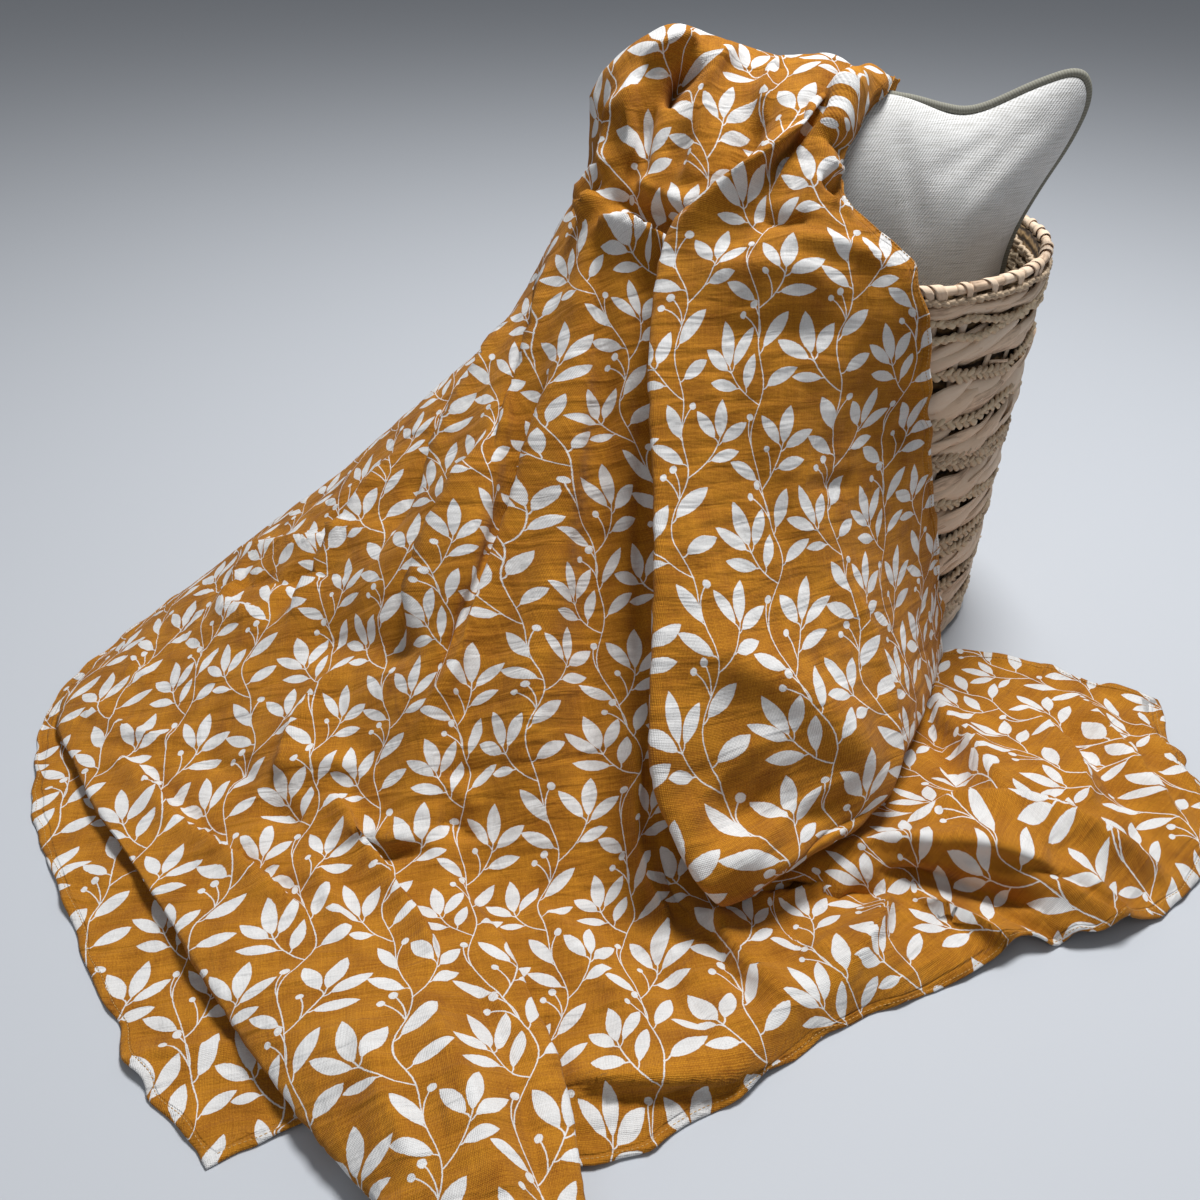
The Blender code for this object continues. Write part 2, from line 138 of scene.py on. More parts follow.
CREASES = [Crease(*row) for row in (
    # The tent's pleats, which run down from the knot.
    ("long_pleat", 15, 17, -0.8, ((7.7, 5.6), (7.3, 5.1), (6.8, 4.55), (6.2, 4.1), (6.0, 3.8))),
    ("long_pleat_foot", 18, -16, 0.0, ((7.4, 5.55), (7.0, 5.05), (6.5, 4.5), (5.9, 4.1))),
    ("upper_pleat", 12, 14, -0.8, ((7.0, 6.1), (7.05, 5.7), (6.75, 5.5), (6.4, 5.2))),
    ("upper_pleat_foot", 14, -13, 0.0, ((6.7, 6.0), (6.75, 5.65), (6.45, 5.4), (6.2, 5.15))),
    ("left_pleat", 12, 13, -0.8, ((6.1, 6.1), (5.95, 5.8), (5.7, 5.55), (5.5, 5.2))),
    ("left_pleat_foot", 16, -13, 0.0, ((5.75, 5.8), (5.55, 5.55), (5.4, 5.2), (5.3, 4.9))),
    ("slope_pleat", 13, 14, -0.8, ((6.2, 5.35), (6.0, 5.15), (5.8, 4.85), (5.7, 4.4))),
    ("slope_pleat_foot", 16, -13, 0.0, ((5.9, 5.2), (5.7, 4.95), (5.55, 4.6), (5.5, 4.3))),
    ("far_pleat", 13, 12, -0.8, ((5.2, 5.6), (5.0, 5.3), (4.8, 5.0), (4.6, 4.7))),
    ("far_pleat_foot", 16, -12, 0.0, ((4.9, 5.6), (4.7, 5.3), (4.5, 5.0), (4.3, 4.8))),
    ("middle_swell", 26, 13, 0.2, ((8.6, 5.9), (8.3, 5.3), (8.1, 4.7), (8.1, 3.9), (7.9, 3.2))),
    ("middle_dip", 24, -14, 0.0, ((9.3, 5.9), (9.2, 5.2), (9.1, 4.5), (9.0, 3.8), (8.7, 3.0))),
    ("valley", 15, -13, 0.0, ((10.9, 5.8), (10.6, 5.3), (10.35, 4.7), (10.3, 4.1))),
    ("pinch", 9, 13, 0.6, ((10.15, 4.3), (10.0, 3.6), (10.1, 2.9), (9.5, 2.0), (9.3, 1.5))),
    ("pinch_left", 12, -7, 0.0, ((9.7, 4.1), (9.6, 3.4), (9.5, 2.6), (9.0, 2.0))),
    ("pinch_right", 9, -8, 0.0, ((10.45, 3.8), (10.5, 3.1), (10.2, 2.4), (9.8, 1.8))),
    ("dimple", 9, -8, 0.3, ((6.2, 3.3), (6.8, 3.5), (7.4, 3.35))),
    ("dimple_lip", 10, 7, 0.0, ((6.3, 3.65), (6.9, 3.8), (7.5, 3.65))),
    ("shin_swell", 17, 8, 0.2, ((7.6, 3.0), (8.2, 2.2), (8.4, 1.4), (8.3, 0.6))),
    ("shin_dip", 14, -8, 0.0, ((8.6, 2.6), (9.0, 1.8), (9.0, 1.0), (8.9, 0.4))),
    ("hem_fold", 12, 13, -0.8, ((7.2, 0.8), (7.8, 0.69), (8.3, 0.56), (9.0, 0.36), (9.5, 0.2))),
    ("hem_gap", 9, -7, 0.0, ((7.5, 0.6), (8.2, 0.42), (9.0, 0.2))),
    # Where the cloth is pinched together on the floor at the left, and the lobe beside it.
    ("star", 11, -15, 0, ((4.0, 3.68), (4.2, 3.6), (4.4, 3.52))),
    ("star_right", 13, 15, 0.6,
     ((4.4, 3.7), (4.75, 3.6), (4.8, 3.3), (4.85, 3.0), (4.95, 2.3), (4.9, 1.7))),
    ("star_hollow", 9, -10, 0, ((4.4, 3.68), (4.8, 3.65), (5.3, 3.66))),
    ("star_fold", 11, 13, -0.7, ((4.2, 3.85), (4.6, 3.84), (5.0, 3.83), (5.4, 3.8))),
    ("star_low", 11, 13, -0.7, ((4.6, 3.42), (5.1, 3.38), (5.6, 3.32), (6.1, 3.3))),
    ("star_low_foot", 10, -9, 0.0, ((4.8, 3.28), (5.2, 3.24), (5.7, 3.18), (6.1, 3.15))),
    ("star_up", 10, 9, 0.3, ((4.35, 3.7), (4.55, 3.95), (4.9, 4.25), (5.3, 4.5))),
    ("star_left", 9, 8, 0.2, ((4.1, 3.6), (3.8, 3.5), (3.4, 3.4))),
    ("star_down", 12, 8, 0.3, ((4.3, 3.4), (4.1, 3.0), (4.05, 2.4))),
    ("star_back", 10, -8, 0.0, ((4.2, 3.8), (3.9, 3.95), (3.5, 4.1))),
    ("lobe_fold", 11, 12, 0.8,
     ((2.4, 4.4), (2.8, 3.95), (2.95, 3.6), (3.25, 3.4), (3.6, 3.0), (3.9, 2.5))),
    ("lobe_foot", 10, -8, 0.0, ((2.8, 4.3), (3.15, 3.85), (3.4, 3.5), (3.8, 3.1), (4.1, 2.7))),
    ("lobe_end", 9, 8, 0.0, ((2.2, 4.9), (2.6, 4.6), (3.1, 4.3), (3.6, 4.2))),
    ("gather_dip", 9, -5, 0, ((3.0, 5.5), (3.2, 5.15), (3.7, 4.9), (4.1, 4.8))),
    ("gather_lip", 10, 11, 0.6, ((3.4, 5.6), (3.6, 5.25), (4.0, 5.05), (4.4, 4.95))),
    ("gather_end", 8, 7, 0.0, ((2.5, 5.3), (2.8, 5.0), (3.2, 4.8))),
    ("side_gather", 9, -10, 0.0, ((2.5, 5.6), (3.6, 5.35), (4.74, 5.06), (5.35, 4.89))),
    ("side_gather_lip", 10, 9, 0.3, ((2.6, 5.8), (3.8, 5.5), (4.9, 5.22), (5.5, 5.05))),
    ("slope_dip", 30, -16, 0.0, ((4.6, 4.75), (5.4, 4.5), (6.1, 4.35))),
    ("lobe_ridge", 18, 8, 0.2, ((4.6, 2.0), (4.5, 1.4), (4.6, 0.7), (4.7, 0.0))),
    ("lobe_dip", 14, -8, 0.0, ((5.4, 2.2), (5.35, 1.4), (5.3, 0.7), (5.3, 0.0))),
    ("lobe_side", 13, 7, 0.0, ((3.6, 1.8), (3.4, 1.1), (3.3, 0.4))),
    ("strip_wave", 13, 6, 0.0, ((0.0, 3.4), (0.5, 3.3), (1.0, 3.3))),
    ("strip_dip", 13, -4, 0.0, ((0.0, 2.4), (0.5, 2.3), (1.0, 2.2))),
    ("strip_ridge", 11, 6, 0.3, ((0.0, 1.1), (0.5, 1.2), (1.0, 1.5))),
    # The panel that hangs down the basket's front.
    ("panel_lip", 8, 3, 0.0, ((13.1, 5.9), (13.1, 5.0), (13.1, 4.2), (13.05, 3.6), (13.0, 3.2))),
    ("rim_shelf", 20, 9, 0.0, ((13.4, 6.0), (14.6, 6.1), (15.9, 6.05))),
    ("rim_shade", 20, -8, 0.0, ((13.5, 5.72), (14.7, 5.78), (16.0, 5.7))),
    ("panel_slant", 18, -5, 0.0, ((14.1, 5.5), (14.6, 5.1), (15.0, 4.6), (15.2, 4.2))),
    ("panel_swell", 22, 5, 0.0, ((13.5, 5.2), (13.8, 4.8), (14.3, 4.4))),
    ("belly_crest", 34, 24, -0.3,
     ((13.1, 4.62), (13.84, 4.48), (14.57, 4.12), (14.98, 3.6), (15.2, 3.1))),
    ("belly_trough", 34, -24, 0.0, ((13.0, 4.0), (13.72, 3.7), (14.28, 3.42), (14.95, 3.2))),
    ("lower_swell", 14, 7, 0, ((13.2, 3.55), (13.8, 3.2), (14.4, 2.95))),
    ("wrap", 13, 9, 0.5, ((15.3, 4.6), (15.55, 3.9), (15.35, 3.3), (15.0, 2.8))),
    ("end_tuck", 15, -10, 0.0, ((13.4, 2.75), (14.0, 2.9), (14.6, 3.0), (15.2, 3.0))),
    ("end_ridge", 9, 11, 0.4, ((13.05, 3.15), (13.5, 3.25), (14.1, 3.4), (14.7, 3.45), (15.1, 3.4))),
    ("end_gap", 8, -6, 0.0, ((13.1, 3.3), (13.5, 3.5), (14.1, 3.65), (14.7, 3.65))),
    ("end_fold", 8, 8, 0.0, ((13.05, 3.4), (13.4, 3.7), (13.9, 3.9), (14.5, 3.95))),
    # The rolls on the floor below the panel and to the right of it.
    ("second_roll", 12, 16, -0.5, ((11.1, 2.6), (11.7, 2.3), (12.4, 1.9), (12.9, 1.6))),
    ("second_gap", 10, -16, 0, ((11.5, 2.75), (12.2, 2.4), (12.9, 2.0))),
    ("overlap_edge", 15, 15, -0.4, ((11.0, 2.7), (10.5, 2.0), (10.15, 1.5), (9.9, 0.9), (9.75, 0.4))),
    ("overlap_foot", 9, -9, 0, ((10.5, 2.3), (9.95, 1.6), (9.65, 1.0), (9.5, 0.5))),
    ("fold_to_hem", 13, 15, 0.5, ((12.6, 1.5), (11.9, 1.5), (11.3, 1.1), (10.5, 0.65), (10.1, 0.35))),
    ("fold_hollow", 14, -9, 0.0, ((11.3, 2.0), (10.9, 1.5), (10.5, 1.0))),
    ("big_roll", 16, 20, 0.4,
     ((14.5, 1.65), (14.45, 1.4), (14.35, 1.13), (14.1, 0.77), (14.1, 0.35), (14.2, -0.2))),
    ("big_hollow", 10, -28, 0.0, ((12.8, 1.5), (12.5, 1.15), (12.5, 0.8), (12.7, 0.55), (12.75, 0.3))),
    ("roll_edge", 15, 17, -0.5, ((13.9, 1.8), (13.6, 1.4), (13.4, 1.05), (13.35, 0.7), (13.4, 0.3))),
    ("arch", 12, 20, -0.3, ((12.5, 1.35), (12.1, 1.05), (12.0, 0.6), (12.0, 0.2), (11.95, -0.5))),
    ("notch", 8, -14, 0.0, ((12.9, 0.5), (12.6, 0.25), (12.5, 0.0), (12.45, -0.5))),
    ("flap_ridge", 12, 16, 0.0, ((13.7, 0.8), (13.4, 0.45), (13.2, 0.1), (13.1, -0.5))),
    ("arch_hollow", 13, -8, 0.0, ((11.7, 1.3), (11.4, 0.8), (11.2, 0.3))),
    ("wing_ridge", 15, 19, -0.5,
     ((16.6, 1.97), (16.1, 1.58), (15.75, 1.42), (15.3, 1.33), (14.75, 1.22), (14.4, 1.1))),
    ("wing_foot", 13, -17, 0, ((16.45, 1.8), (16.1, 1.66), (15.7, 1.54), (15.3, 1.46), (14.8, 1.33))),
    ("second_wing_ridge", 14, 14, 0.3,
     ((16.4, 1.3), (15.9, 1.12), (15.4, 1.0), (14.9, 0.9), (14.5, 0.75))),
    ("third_wing_ridge", 14, 14, 0.3,
     ((16.7, 0.85), (16.0, 0.75), (15.4, 0.6), (14.9, 0.4), (14.5, 0.15))),
    ("wing_hollow", 18, -14, 0.0, ((16.3, 1.05), (15.7, 0.88), (15.2, 0.75), (14.7, 0.55))),
    ("wing_end", 12, 11, 0.0, ((16.7, 0.35), (16.2, 0.3), (15.6, 0.2), (15.2, -0.1))),
    # The bunch on the cushion.
    ("diagonal", 15, 21, -0.6,
     ((15.5, 7.95), (14.6, 7.6), (13.7, 7.2), (13.4, 6.65), (13.3, 6.25), (13.1, 6.0))),
    ("bowl", 20, -23, 0, ((12.4, 7.5), (12.2, 7.0), (12.4, 6.6), (12.5, 6.3))),
    ("top_ridge", 12, 13, 0.3, ((11.4, 8.0), (11.0, 7.6), (10.8, 7.45), (10.9, 7.1))),
    ("mouth", 9.5, -40, 0, ((10.1, 7.3), (10.3, 7.45), (10.55, 7.57), (10.8, 7.7))),
    ("mouth_lip", 9, 16, -0.5, ((9.6, 7.6), (10.1, 7.75), (10.7, 7.85))),
    ("mouth_line", 8, -13, 0.0, ((9.95, 7.45), (9.7, 7.15), (9.75, 6.85), (10.15, 6.6))),
    ("left_lip", 8, 14, 0.6, ((9.4, 7.6), (9.25, 7.2), (9.3, 6.85), (9.5, 6.55))),
    ("inner_fold", 9, 9, 0.0, ((10.9, 7.75), (11.2, 7.4), (11.3, 7.0), (11.1, 6.7))),
    ("back_ridge", 9, 10, 0.4, ((12.4, 8.0), (12.1, 7.7), (12.4, 7.3), (12.6, 7.1))),
    ("shoulder", 11, 11, -0.4, ((15.3, 7.9), (14.9, 7.35), (14.5, 7.2), (14.2, 6.95), (14.1, 6.5))),
    ("shoulder_dip", 11, -13, 0.0, ((14.7, 7.7), (14.3, 7.3), (13.8, 7.0), (13.7, 6.6))),
    ("crinkle_high", 7, -9, 0.0, ((14.7, 7.2), (15.4, 7.22), (16.2, 7.2))),
    ("crinkle_mid", 6.5, 8, 0.0, ((15.0, 7.08), (15.6, 7.05), (16.3, 7.05))),
    ("crinkle_low", 6.5, -8, 0.0, ((15.1, 6.93), (15.8, 6.88), (16.5, 6.85))),
    ("crinkle_foot", 7, 7, 0.0, ((15.3, 6.75), (16.0, 6.7), (16.7, 6.65))),
    ("lobe_ring", 13, 13, 0.0, ((9.2, 7.5), (8.7, 7.0), (8.7, 6.6), (9.2, 6.35))),
    ("lobe_hollow", 12, -14, 0.0, ((9.7, 7.3), (9.4, 6.9), (9.7, 6.55), (10.6, 6.4))),
    ("bowl_lip", 12, 9, 0.0, ((9.4, 6.45), (10.2, 6.6), (11.1, 6.65), (12.0, 6.45))),
    ("ledge", 12, 19, 0.8, ((8.2, 5.95), (9.3, 6.05), (10.3, 6.1), (11.6, 6.1), (12.4, 6.05))),
    ("ledge_gap", 11, -18, 0, ((8.7, 6.2), (9.5, 6.27), (10.4, 6.32), (11.8, 6.28))),
    ("knot", 8, 16, 0.5, ((7.7, 6.05), (8.2, 6.12), (8.8, 6.25))),
    ("knot_dip", 6.5, -9, 0.0, ((7.5, 6.2), (8.1, 6.3), (8.6, 6.45))),
    ("knot_fold", 7, 11, 0.5, ((7.3, 6.35), (7.9, 6.5), (8.4, 6.65))),
    ("rim_turn", 10, 9, 0.0, ((14.6, 6.3), (15.9, 6.28), (16.6, 6.1))),
    ("rim_dip", 10, -10, 0.0, ((13.9, 6.5), (14.6, 6.48), (15.4, 6.52))),
    # Behind, where the cloth hangs from the cushion and lies to the left.
    ("hind_ridge", 13, 6, 0.3, ((10.0, 9.0), (10.2, 8.5), (10.5, 8.1))),
    ("hind_dip", 13, -6, 0.0, ((11.2, 9.0), (11.3, 8.5), (11.6, 8.1))),
    ("hind_fold", 12, 6, 0.0, ((12.6, 9.0), (12.6, 8.5), (12.8, 8.1))),
    ("hind_hollow", 13, -6, 0.0, ((14.0, 9.0), (13.9, 8.5), (13.8, 8.1))),
    ("hind_edge", 13, 5, 0.0, ((15.4, 9.0), (15.4, 8.5), (15.3, 8.1))),
    ("tail_ridge", 16, 6, 0.3, ((8.3, 9.0), (8.2, 8.3), (8.2, 7.6), (8.1, 7.0))),
    ("tail_dip", 15, -6, 0.0, ((7.4, 9.0), (7.3, 8.2), (7.2, 7.4), (7.1, 6.8))),
    ("tail_fold", 18, 6, 0.3, ((6.0, 9.0), (6.0, 8.0), (6.2, 7.0), (6.4, 6.4))),
    ("tail_hollow", 18, -6, 0.0, ((4.9, 9.0), (5.0, 7.9), (5.2, 7.0), (5.5, 6.4))),
    ("tail_wave", 20, 5, 0.0, ((3.6, 9.0), (3.7, 7.8), (4.0, 6.9), (4.3, 6.3))),
    ("tail_edge", 16, -4, 0.0, ((2.2, 9.0), (2.4, 7.6), (2.7, 6.8))),
)]


# ---- Small tools ----
def linear(hex_colour):
    """An sRGB hex colour as the linear red, green, blue and alpha that Blender works in."""
    parts = [int(hex_colour[i:i + 2], 16) / 255 for i in (1, 3, 5)]
    return (*[c / 12.92 if c <= 0.04045 else ((c + 0.055) / 1.055)**2.4 for c in parts], 1.0)


def feed(tree, node, inputs):
    """Set or link a node's inputs, given by name or in their order."""
    for name, value in inputs.items() if isinstance(inputs, dict) else enumerate(inputs):
        if isinstance(value, bpy.types.NodeSocket):
            tree.links.new(value, node.inputs[name])
        else:
            node.inputs[name].default_value = value


def add(tree, kind, inputs=(), out=0, **settings):
    """Add a shader node with its settings and inputs, and give one of its outputs."""
    node = tree.nodes.new("ShaderNode" + kind)
    for name, value in settings.items():
        setattr(node, name, value)
    feed(tree, node, inputs)
    return node.outputs[out]


def weighted(tree, base, parts):
    """A base value with parts added to it, each times its weight."""
    for value, weight in parts:
        base = add(tree, "Math", (value, weight, base), operation="MULTIPLY_ADD")
    return base


def drawn_noise(tree, place, stretch, **inputs):
    """Noise that is drawn out over a surface: stretch says how many specks there are to a unit of
    place, across and up."""
    drawn = add(tree, "VectorMath", (place, (*stretch, 1.0)), operation="MULTIPLY")
    return add(tree, "TexNoise", {"Vector": drawn, "Scale": 1.0, **inputs})


def new_material(name):
    """An empty node material: its tree, and its shader linked to the surface output."""
    material = bpy.data.materials.new(name)
    material.use_nodes = True
    tree = material.node_tree
    tree.nodes.clear()
    shader = tree.nodes.new("ShaderNodeBsdfPrincipled")
    output = tree.nodes.new("ShaderNodeOutputMaterial")
    tree.links.new(shader.outputs["BSDF"], output.inputs["Surface"])
    return material, tree, shader


def new_piece(name, vertices, faces, material):
    """A smooth mesh object in the scene that rides on the part's only body."""
    mesh = bpy.data.meshes.new(name)
    mesh.from_pydata([tuple(v) for v in vertices], [], faces)
    mesh.materials.append(material)
    mesh.shade_smooth()
    piece = bpy.data.objects.new(name, mesh)
    bpy.context.scene.collection.objects.link(piece)
    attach(piece, "root")
    return piece


def closed_sheet(rows, columns):
    """Faces of a closed sheet, and its border: an upper grid of points, row by row, and then a lower
    one, joined along the border."""
    below = rows * columns
    faces = []
    for r in range(rows - 1):
        for c in range(columns - 1):
            a, b = r * columns + c, (r + 1) * columns + c
            faces.append((a, b, b + 1, a + 1))
            faces.append((below + a, below + a + 1, below + b + 1, below + b))
    border = [r * columns for r in range(rows)]
    border += [(rows - 1) * columns + c for c in range(1, columns)]
    border += [r * columns + columns - 1 for r in range(rows - 2, -1, -1)]
    border += list(range(columns - 2, 0, -1))
    faces += [(a, below + a, below + b, b) for a, b in zip(border, border[1:] + border[:1])]
    return faces, border


def lay_map(piece, name, places):
    """Give a piece a UV map, from a place for each of its vertices."""
    layer = piece.data.uv_layers.new(name=name)
    corner = np.zeros(len(piece.data.loops), int)
    piece.data.loops.foreach_get("vertex_index", corner)
    layer.uv.foreach_set("vector", places[corner].astype(np.float32).ravel())


def spline_weights(place, count):
    """Four neighbours, and their weights, of places on a smooth curve through count points."""
    start = np.clip(place.astype(int), 0, count - 2)
    t = place - start
    near = np.clip(np.stack([start - 1, start, start + 1, start + 2]), 0, count - 1)
    leave = (t**3 - 2 * t**2 + t) / 2
    arrive = (t**3 - t**2) / 2
    weights = np.stack([
        -leave,
        2 * t**3 - 3 * t**2 + 1 - arrive,
        3 * t**2 - 2 * t**3 + leave,
        arrive,
    ])
    return near, weights


def on_table(table, line, station):
    """Smooth values of a table (lines, stations, parts) at places given as arrays of the same shape."""
    lines, line_weights = spline_weights(line, table.shape[0])
    stations, station_weights = spline_weights(station, table.shape[1])
    value = 0.0
    for i in range(4):
        for k in range(4):
            weight = line_weights[i] * station_weights[k]
            value = value + weight[..., None] * table[lines[i], stations[k]]
    return value


def lengths_along(points, axis=0):
    """How far each point of a path, or of a grid along an axis, lies from its start."""
    steps = np.cumsum(np.linalg.norm(np.diff(points, axis=axis), axis=-1), axis=axis)
    return np.concatenate([np.zeros_like(np.take(steps, [0], axis=axis)), steps], axis=axis)


def unit(vectors):
    """Vectors drawn to the length 1."""
    return vectors / np.maximum(np.linalg.norm(vectors, axis=-1, keepdims=True), 1e-12)


def outward(angle):
    """The way out from the basket's axis at angles."""
    return np.stack([np.cos(angle), np.sin(angle), np.zeros_like(angle)], axis=1)


def hump(offset, reach):
    """A smooth hump: 1 in the middle and 0 from its reach on."""
    share = np.clip(np.abs(offset) / reach, 0, 1)
    return (1 - share**2)**2


# ---- Settings that a user would change ----
def length_setting(name, text, value):
    """A length in metres."""
    return bpy.props.FloatProperty(name=name, description=text, default=value, min=0.0,
                                   precision=4, unit="LENGTH")


def colour_setting(name, text, hex_colour):
    """A colour, given as sRGB hex."""
    return bpy.props.FloatVectorProperty(name=name, description=text, subtype="COLOR", size=4,
                                         default=linear(hex_colour), min=0.0, max=1.0)


class BlanketSettings(bpy.types.PropertyGroup):
    """Sizes and colours of the blanket."""
    side: length_setting("Side", "Side of the square that the blanket is cut to", 1.2)
    thickness: length_setting("Thickness", "Thickness of the cloth", 0.0011)
    hem_thickness: length_setting("Hem thickness", "Thickness of the turned hem", 0.0028)
    hem_width: length_setting("Hem width", "Width of the turned hem", 0.011)
    spacing: length_setting("Spacing", "Distance between the points of the mesh", 0.0058)
    print_scale: bpy.props.FloatProperty(name="Print scale", description="Size of the printed leaves",
                                         default=1.0, min=0.2, max=5.0)
    stitch: length_setting("Stitch", "Length of a hem stitch, with the gap after it", 0.0036)
    thread: colour_setting("Thread", "Colour of the hem's thread", "#D8AE66")
    leaf: colour_setting("Leaf", "Colour of the printed leaves", "#F3F3F2")


class StageSettings(bpy.types.PropertyGroup):
    """The camera and the floor."""
    camera: bpy.props.FloatVectorProperty(name="Camera", description="Where the camera stands",
                                          default=(-0.258, -1.204, 0.78), subtype="TRANSLATION")
    tilt: bpy.props.FloatProperty(name="Tilt", description="How far the camera looks down",
                                  default=math.radians(34), subtype="ANGLE")
    floor: colour_setting("Floor", "Colour of the floor", "#B7BBC1")


# ---- Blanket ----
# Distance from the cloth's border of the rows that shape its hem, as shares of the hem's width,
# and how much of the hem's thickness the cloth has there.
HEM_ROWS = (
    (0.0, 0.35),
    (0.22, 1.0),
    (0.80, 0.9),
    (0.92, 0.0),
    (1.10, 0.05),
    (1.50, 0.0),
)
# The hem's row that its stitches lie on.
SEAM_ROW = 2
# As parts of the gap from one fold line or station to the next: the room that is left for the hem's
# rows, the step that the cloth's breadth is measured over, and the most room that one row takes.
HEM_ROOM = 0.345
HEM_PROBE = 0.12
HEM_ROW_ROOM = 0.05
# How many times closer together than the spacing the mesh's points lie, from each fold line to the
# next and from each station to the next: closest where the creases are small.
LINE_DETAIL = (0.8, 0.9, 0.9, 1.0, 1.0, 1.0, 1.0, 0.9, 1.0, 1.05, 1.05, 1.1, 1.15, 1.15, 1.15, 1.15, 1.1)
STATION_DETAIL = (1.25, 1.2, 1.2, 1.0, 0.7, 0.75, 1.35, 1.3, 0.6)
# How many places a gap is measured at, and the percentile of those that counts.
GAP_PLACES = (60, 90)
GAP_PERCENTILE = 60
# How many steps of the flat layout there are to a gap, and the first and last fold line and station
# of the panel, which sets the print's direction and scale.
LAYOUT_STEPS = 4
PANEL_LINES = (13, 16)
PANEL_STATIONS = (3, 6)

FOLD_TABLE = np.array(list(FOLD_LINES.values()), float) * MM
LAST_LINE = FOLD_TABLE.shape[0] - 1
LAST_STATION = FOLD_TABLE.shape[1] - 1

# Soft wrinkles of the washed cloth, in metres: how far one is from the next across and along, and
# how high they stand.
SWELL = (0.120, 0.085, 0.0036)
FOLD = (0.062, 0.034, 0.0042)
RIPPLE = (0.030, 0.019, 0.0011)
# How the hem is puckered up and drawn in and out, in metres: how far one is from the next, how far
# it goes and how far from the border it reaches.
PUCKER = (0.042, 0.0085, 0.026)
PULL_IN = (0.034, 0.0075, 0.022)
PULL_IN_END = 0.050

# A crease's shape: how far it leans and how much narrower it gets for its steepness, how fast it
# falls off over its width, the share of its width in which one side turns into the other, the share
# of its length in which it fades out at each end, and how many widths away it ends.
CREASE_LEAN = 0.9
CREASE_NARROWING = 0.2
CREASE_FALL = 2.1
CREASE_TURN = 0.3
CREASE_FADE = 0.28
CREASE_REACH = 2.6
# How many straight pieces there are to a gap between two of a crease's places.
PATH_STEPS = 7

# A stitch: the share of its length that shows, and how far it stands out, its half width and its
# half thickness in metres.
STITCH_SHOWN = 0.66
STITCH_RISE = 0.00012
STITCH_HALF_WIDTH = 0.00036
STITCH_HALF_THICKNESS = 0.00026


def cloth_middle(line, station):
    """Points on the middle of the cloth, at arrays of fold lines and stations, with its puffs."""
    points = on_table(FOLD_TABLE, line, station)
    for puff in PUFFS:
        size = MM * hump(line - puff.line, puff.line_reach) * hump(station - puff.station,
                                                                  puff.station_reach)
        points[..., 2] += puff.rise * size
        points[..., 1] -= puff.forward * size
    return points


def cloth_row(axis, at, others):
    """Points on the middle of the cloth: at one fold line (axis 0) or one station (axis 1), and at the
    others given."""
    fixed = np.full(len(others), float(at))
    return cloth_middle(fixed, others) if axis == 0 else cloth_middle(others, fixed)


def mesh_places(axis, detail, spacing):
    """Fold lines (axis 0) or stations (axis 1) of the mesh's rows, about a spacing apart on the cloth,
    with the hem's own rows at both ends."""
    last = FOLD_TABLE.shape[axis] - 1
    others = np.linspace(0, FOLD_TABLE.shape[1 - axis] - 1, GAP_PLACES[axis])
    places = []
    for start in range(last):
        gap = np.linalg.norm(cloth_row(axis, start + 1, others) - cloth_row(axis, start, others), axis=1)
        steps = max(2, round(float(np.percentile(gap, GAP_PERCENTILE)) / spacing * detail[start]))
        places += [start + i / steps for i in range(steps)]
    places = np.array(places)
    kept = places[(places > HEM_ROOM) & (places < last - HEM_ROOM)]
    return np.concatenate([np.zeros(len(HEM_ROWS)), kept, np.full(len(HEM_ROWS), float(last))])


def cloth_places(settings):
    """Fold line, station and the hem's share of each point of the cloth's mesh."""
    across = mesh_places(0, LINE_DETAIL, settings.spacing)
    along = mesh_places(1, STATION_DETAIL, settings.spacing)
    places = np.array(np.meshgrid(across, along, indexing="ij"))
    hem = np.zeros(places.shape[1:])
    for row, (share, thick) in enumerate(HEM_ROWS):
        for axis, last, others in ((0, LAST_LINE, along), (1, LAST_STATION, across)):
            for end, inward, index in ((0.0, 1, row), (float(last), -1, -1 - row)):
                edge = cloth_row(axis, end, others)
                inner = cloth_row(axis, end + inward * HEM_PROBE, others)
                speed = np.linalg.norm(inner - edge, axis=1) / HEM_PROBE
                step = np.minimum(share * settings.hem_width / speed, HEM_ROW_ROOM * row)
                np.moveaxis(places[axis], axis, 0)[index] = end + inward * step
        inside = slice(row, -row or None)
        hem[row, inside] = hem[-1 - row, inside] = thick
        hem[inside, row] = hem[inside, -1 - row] = thick
    return places[0], places[1], hem


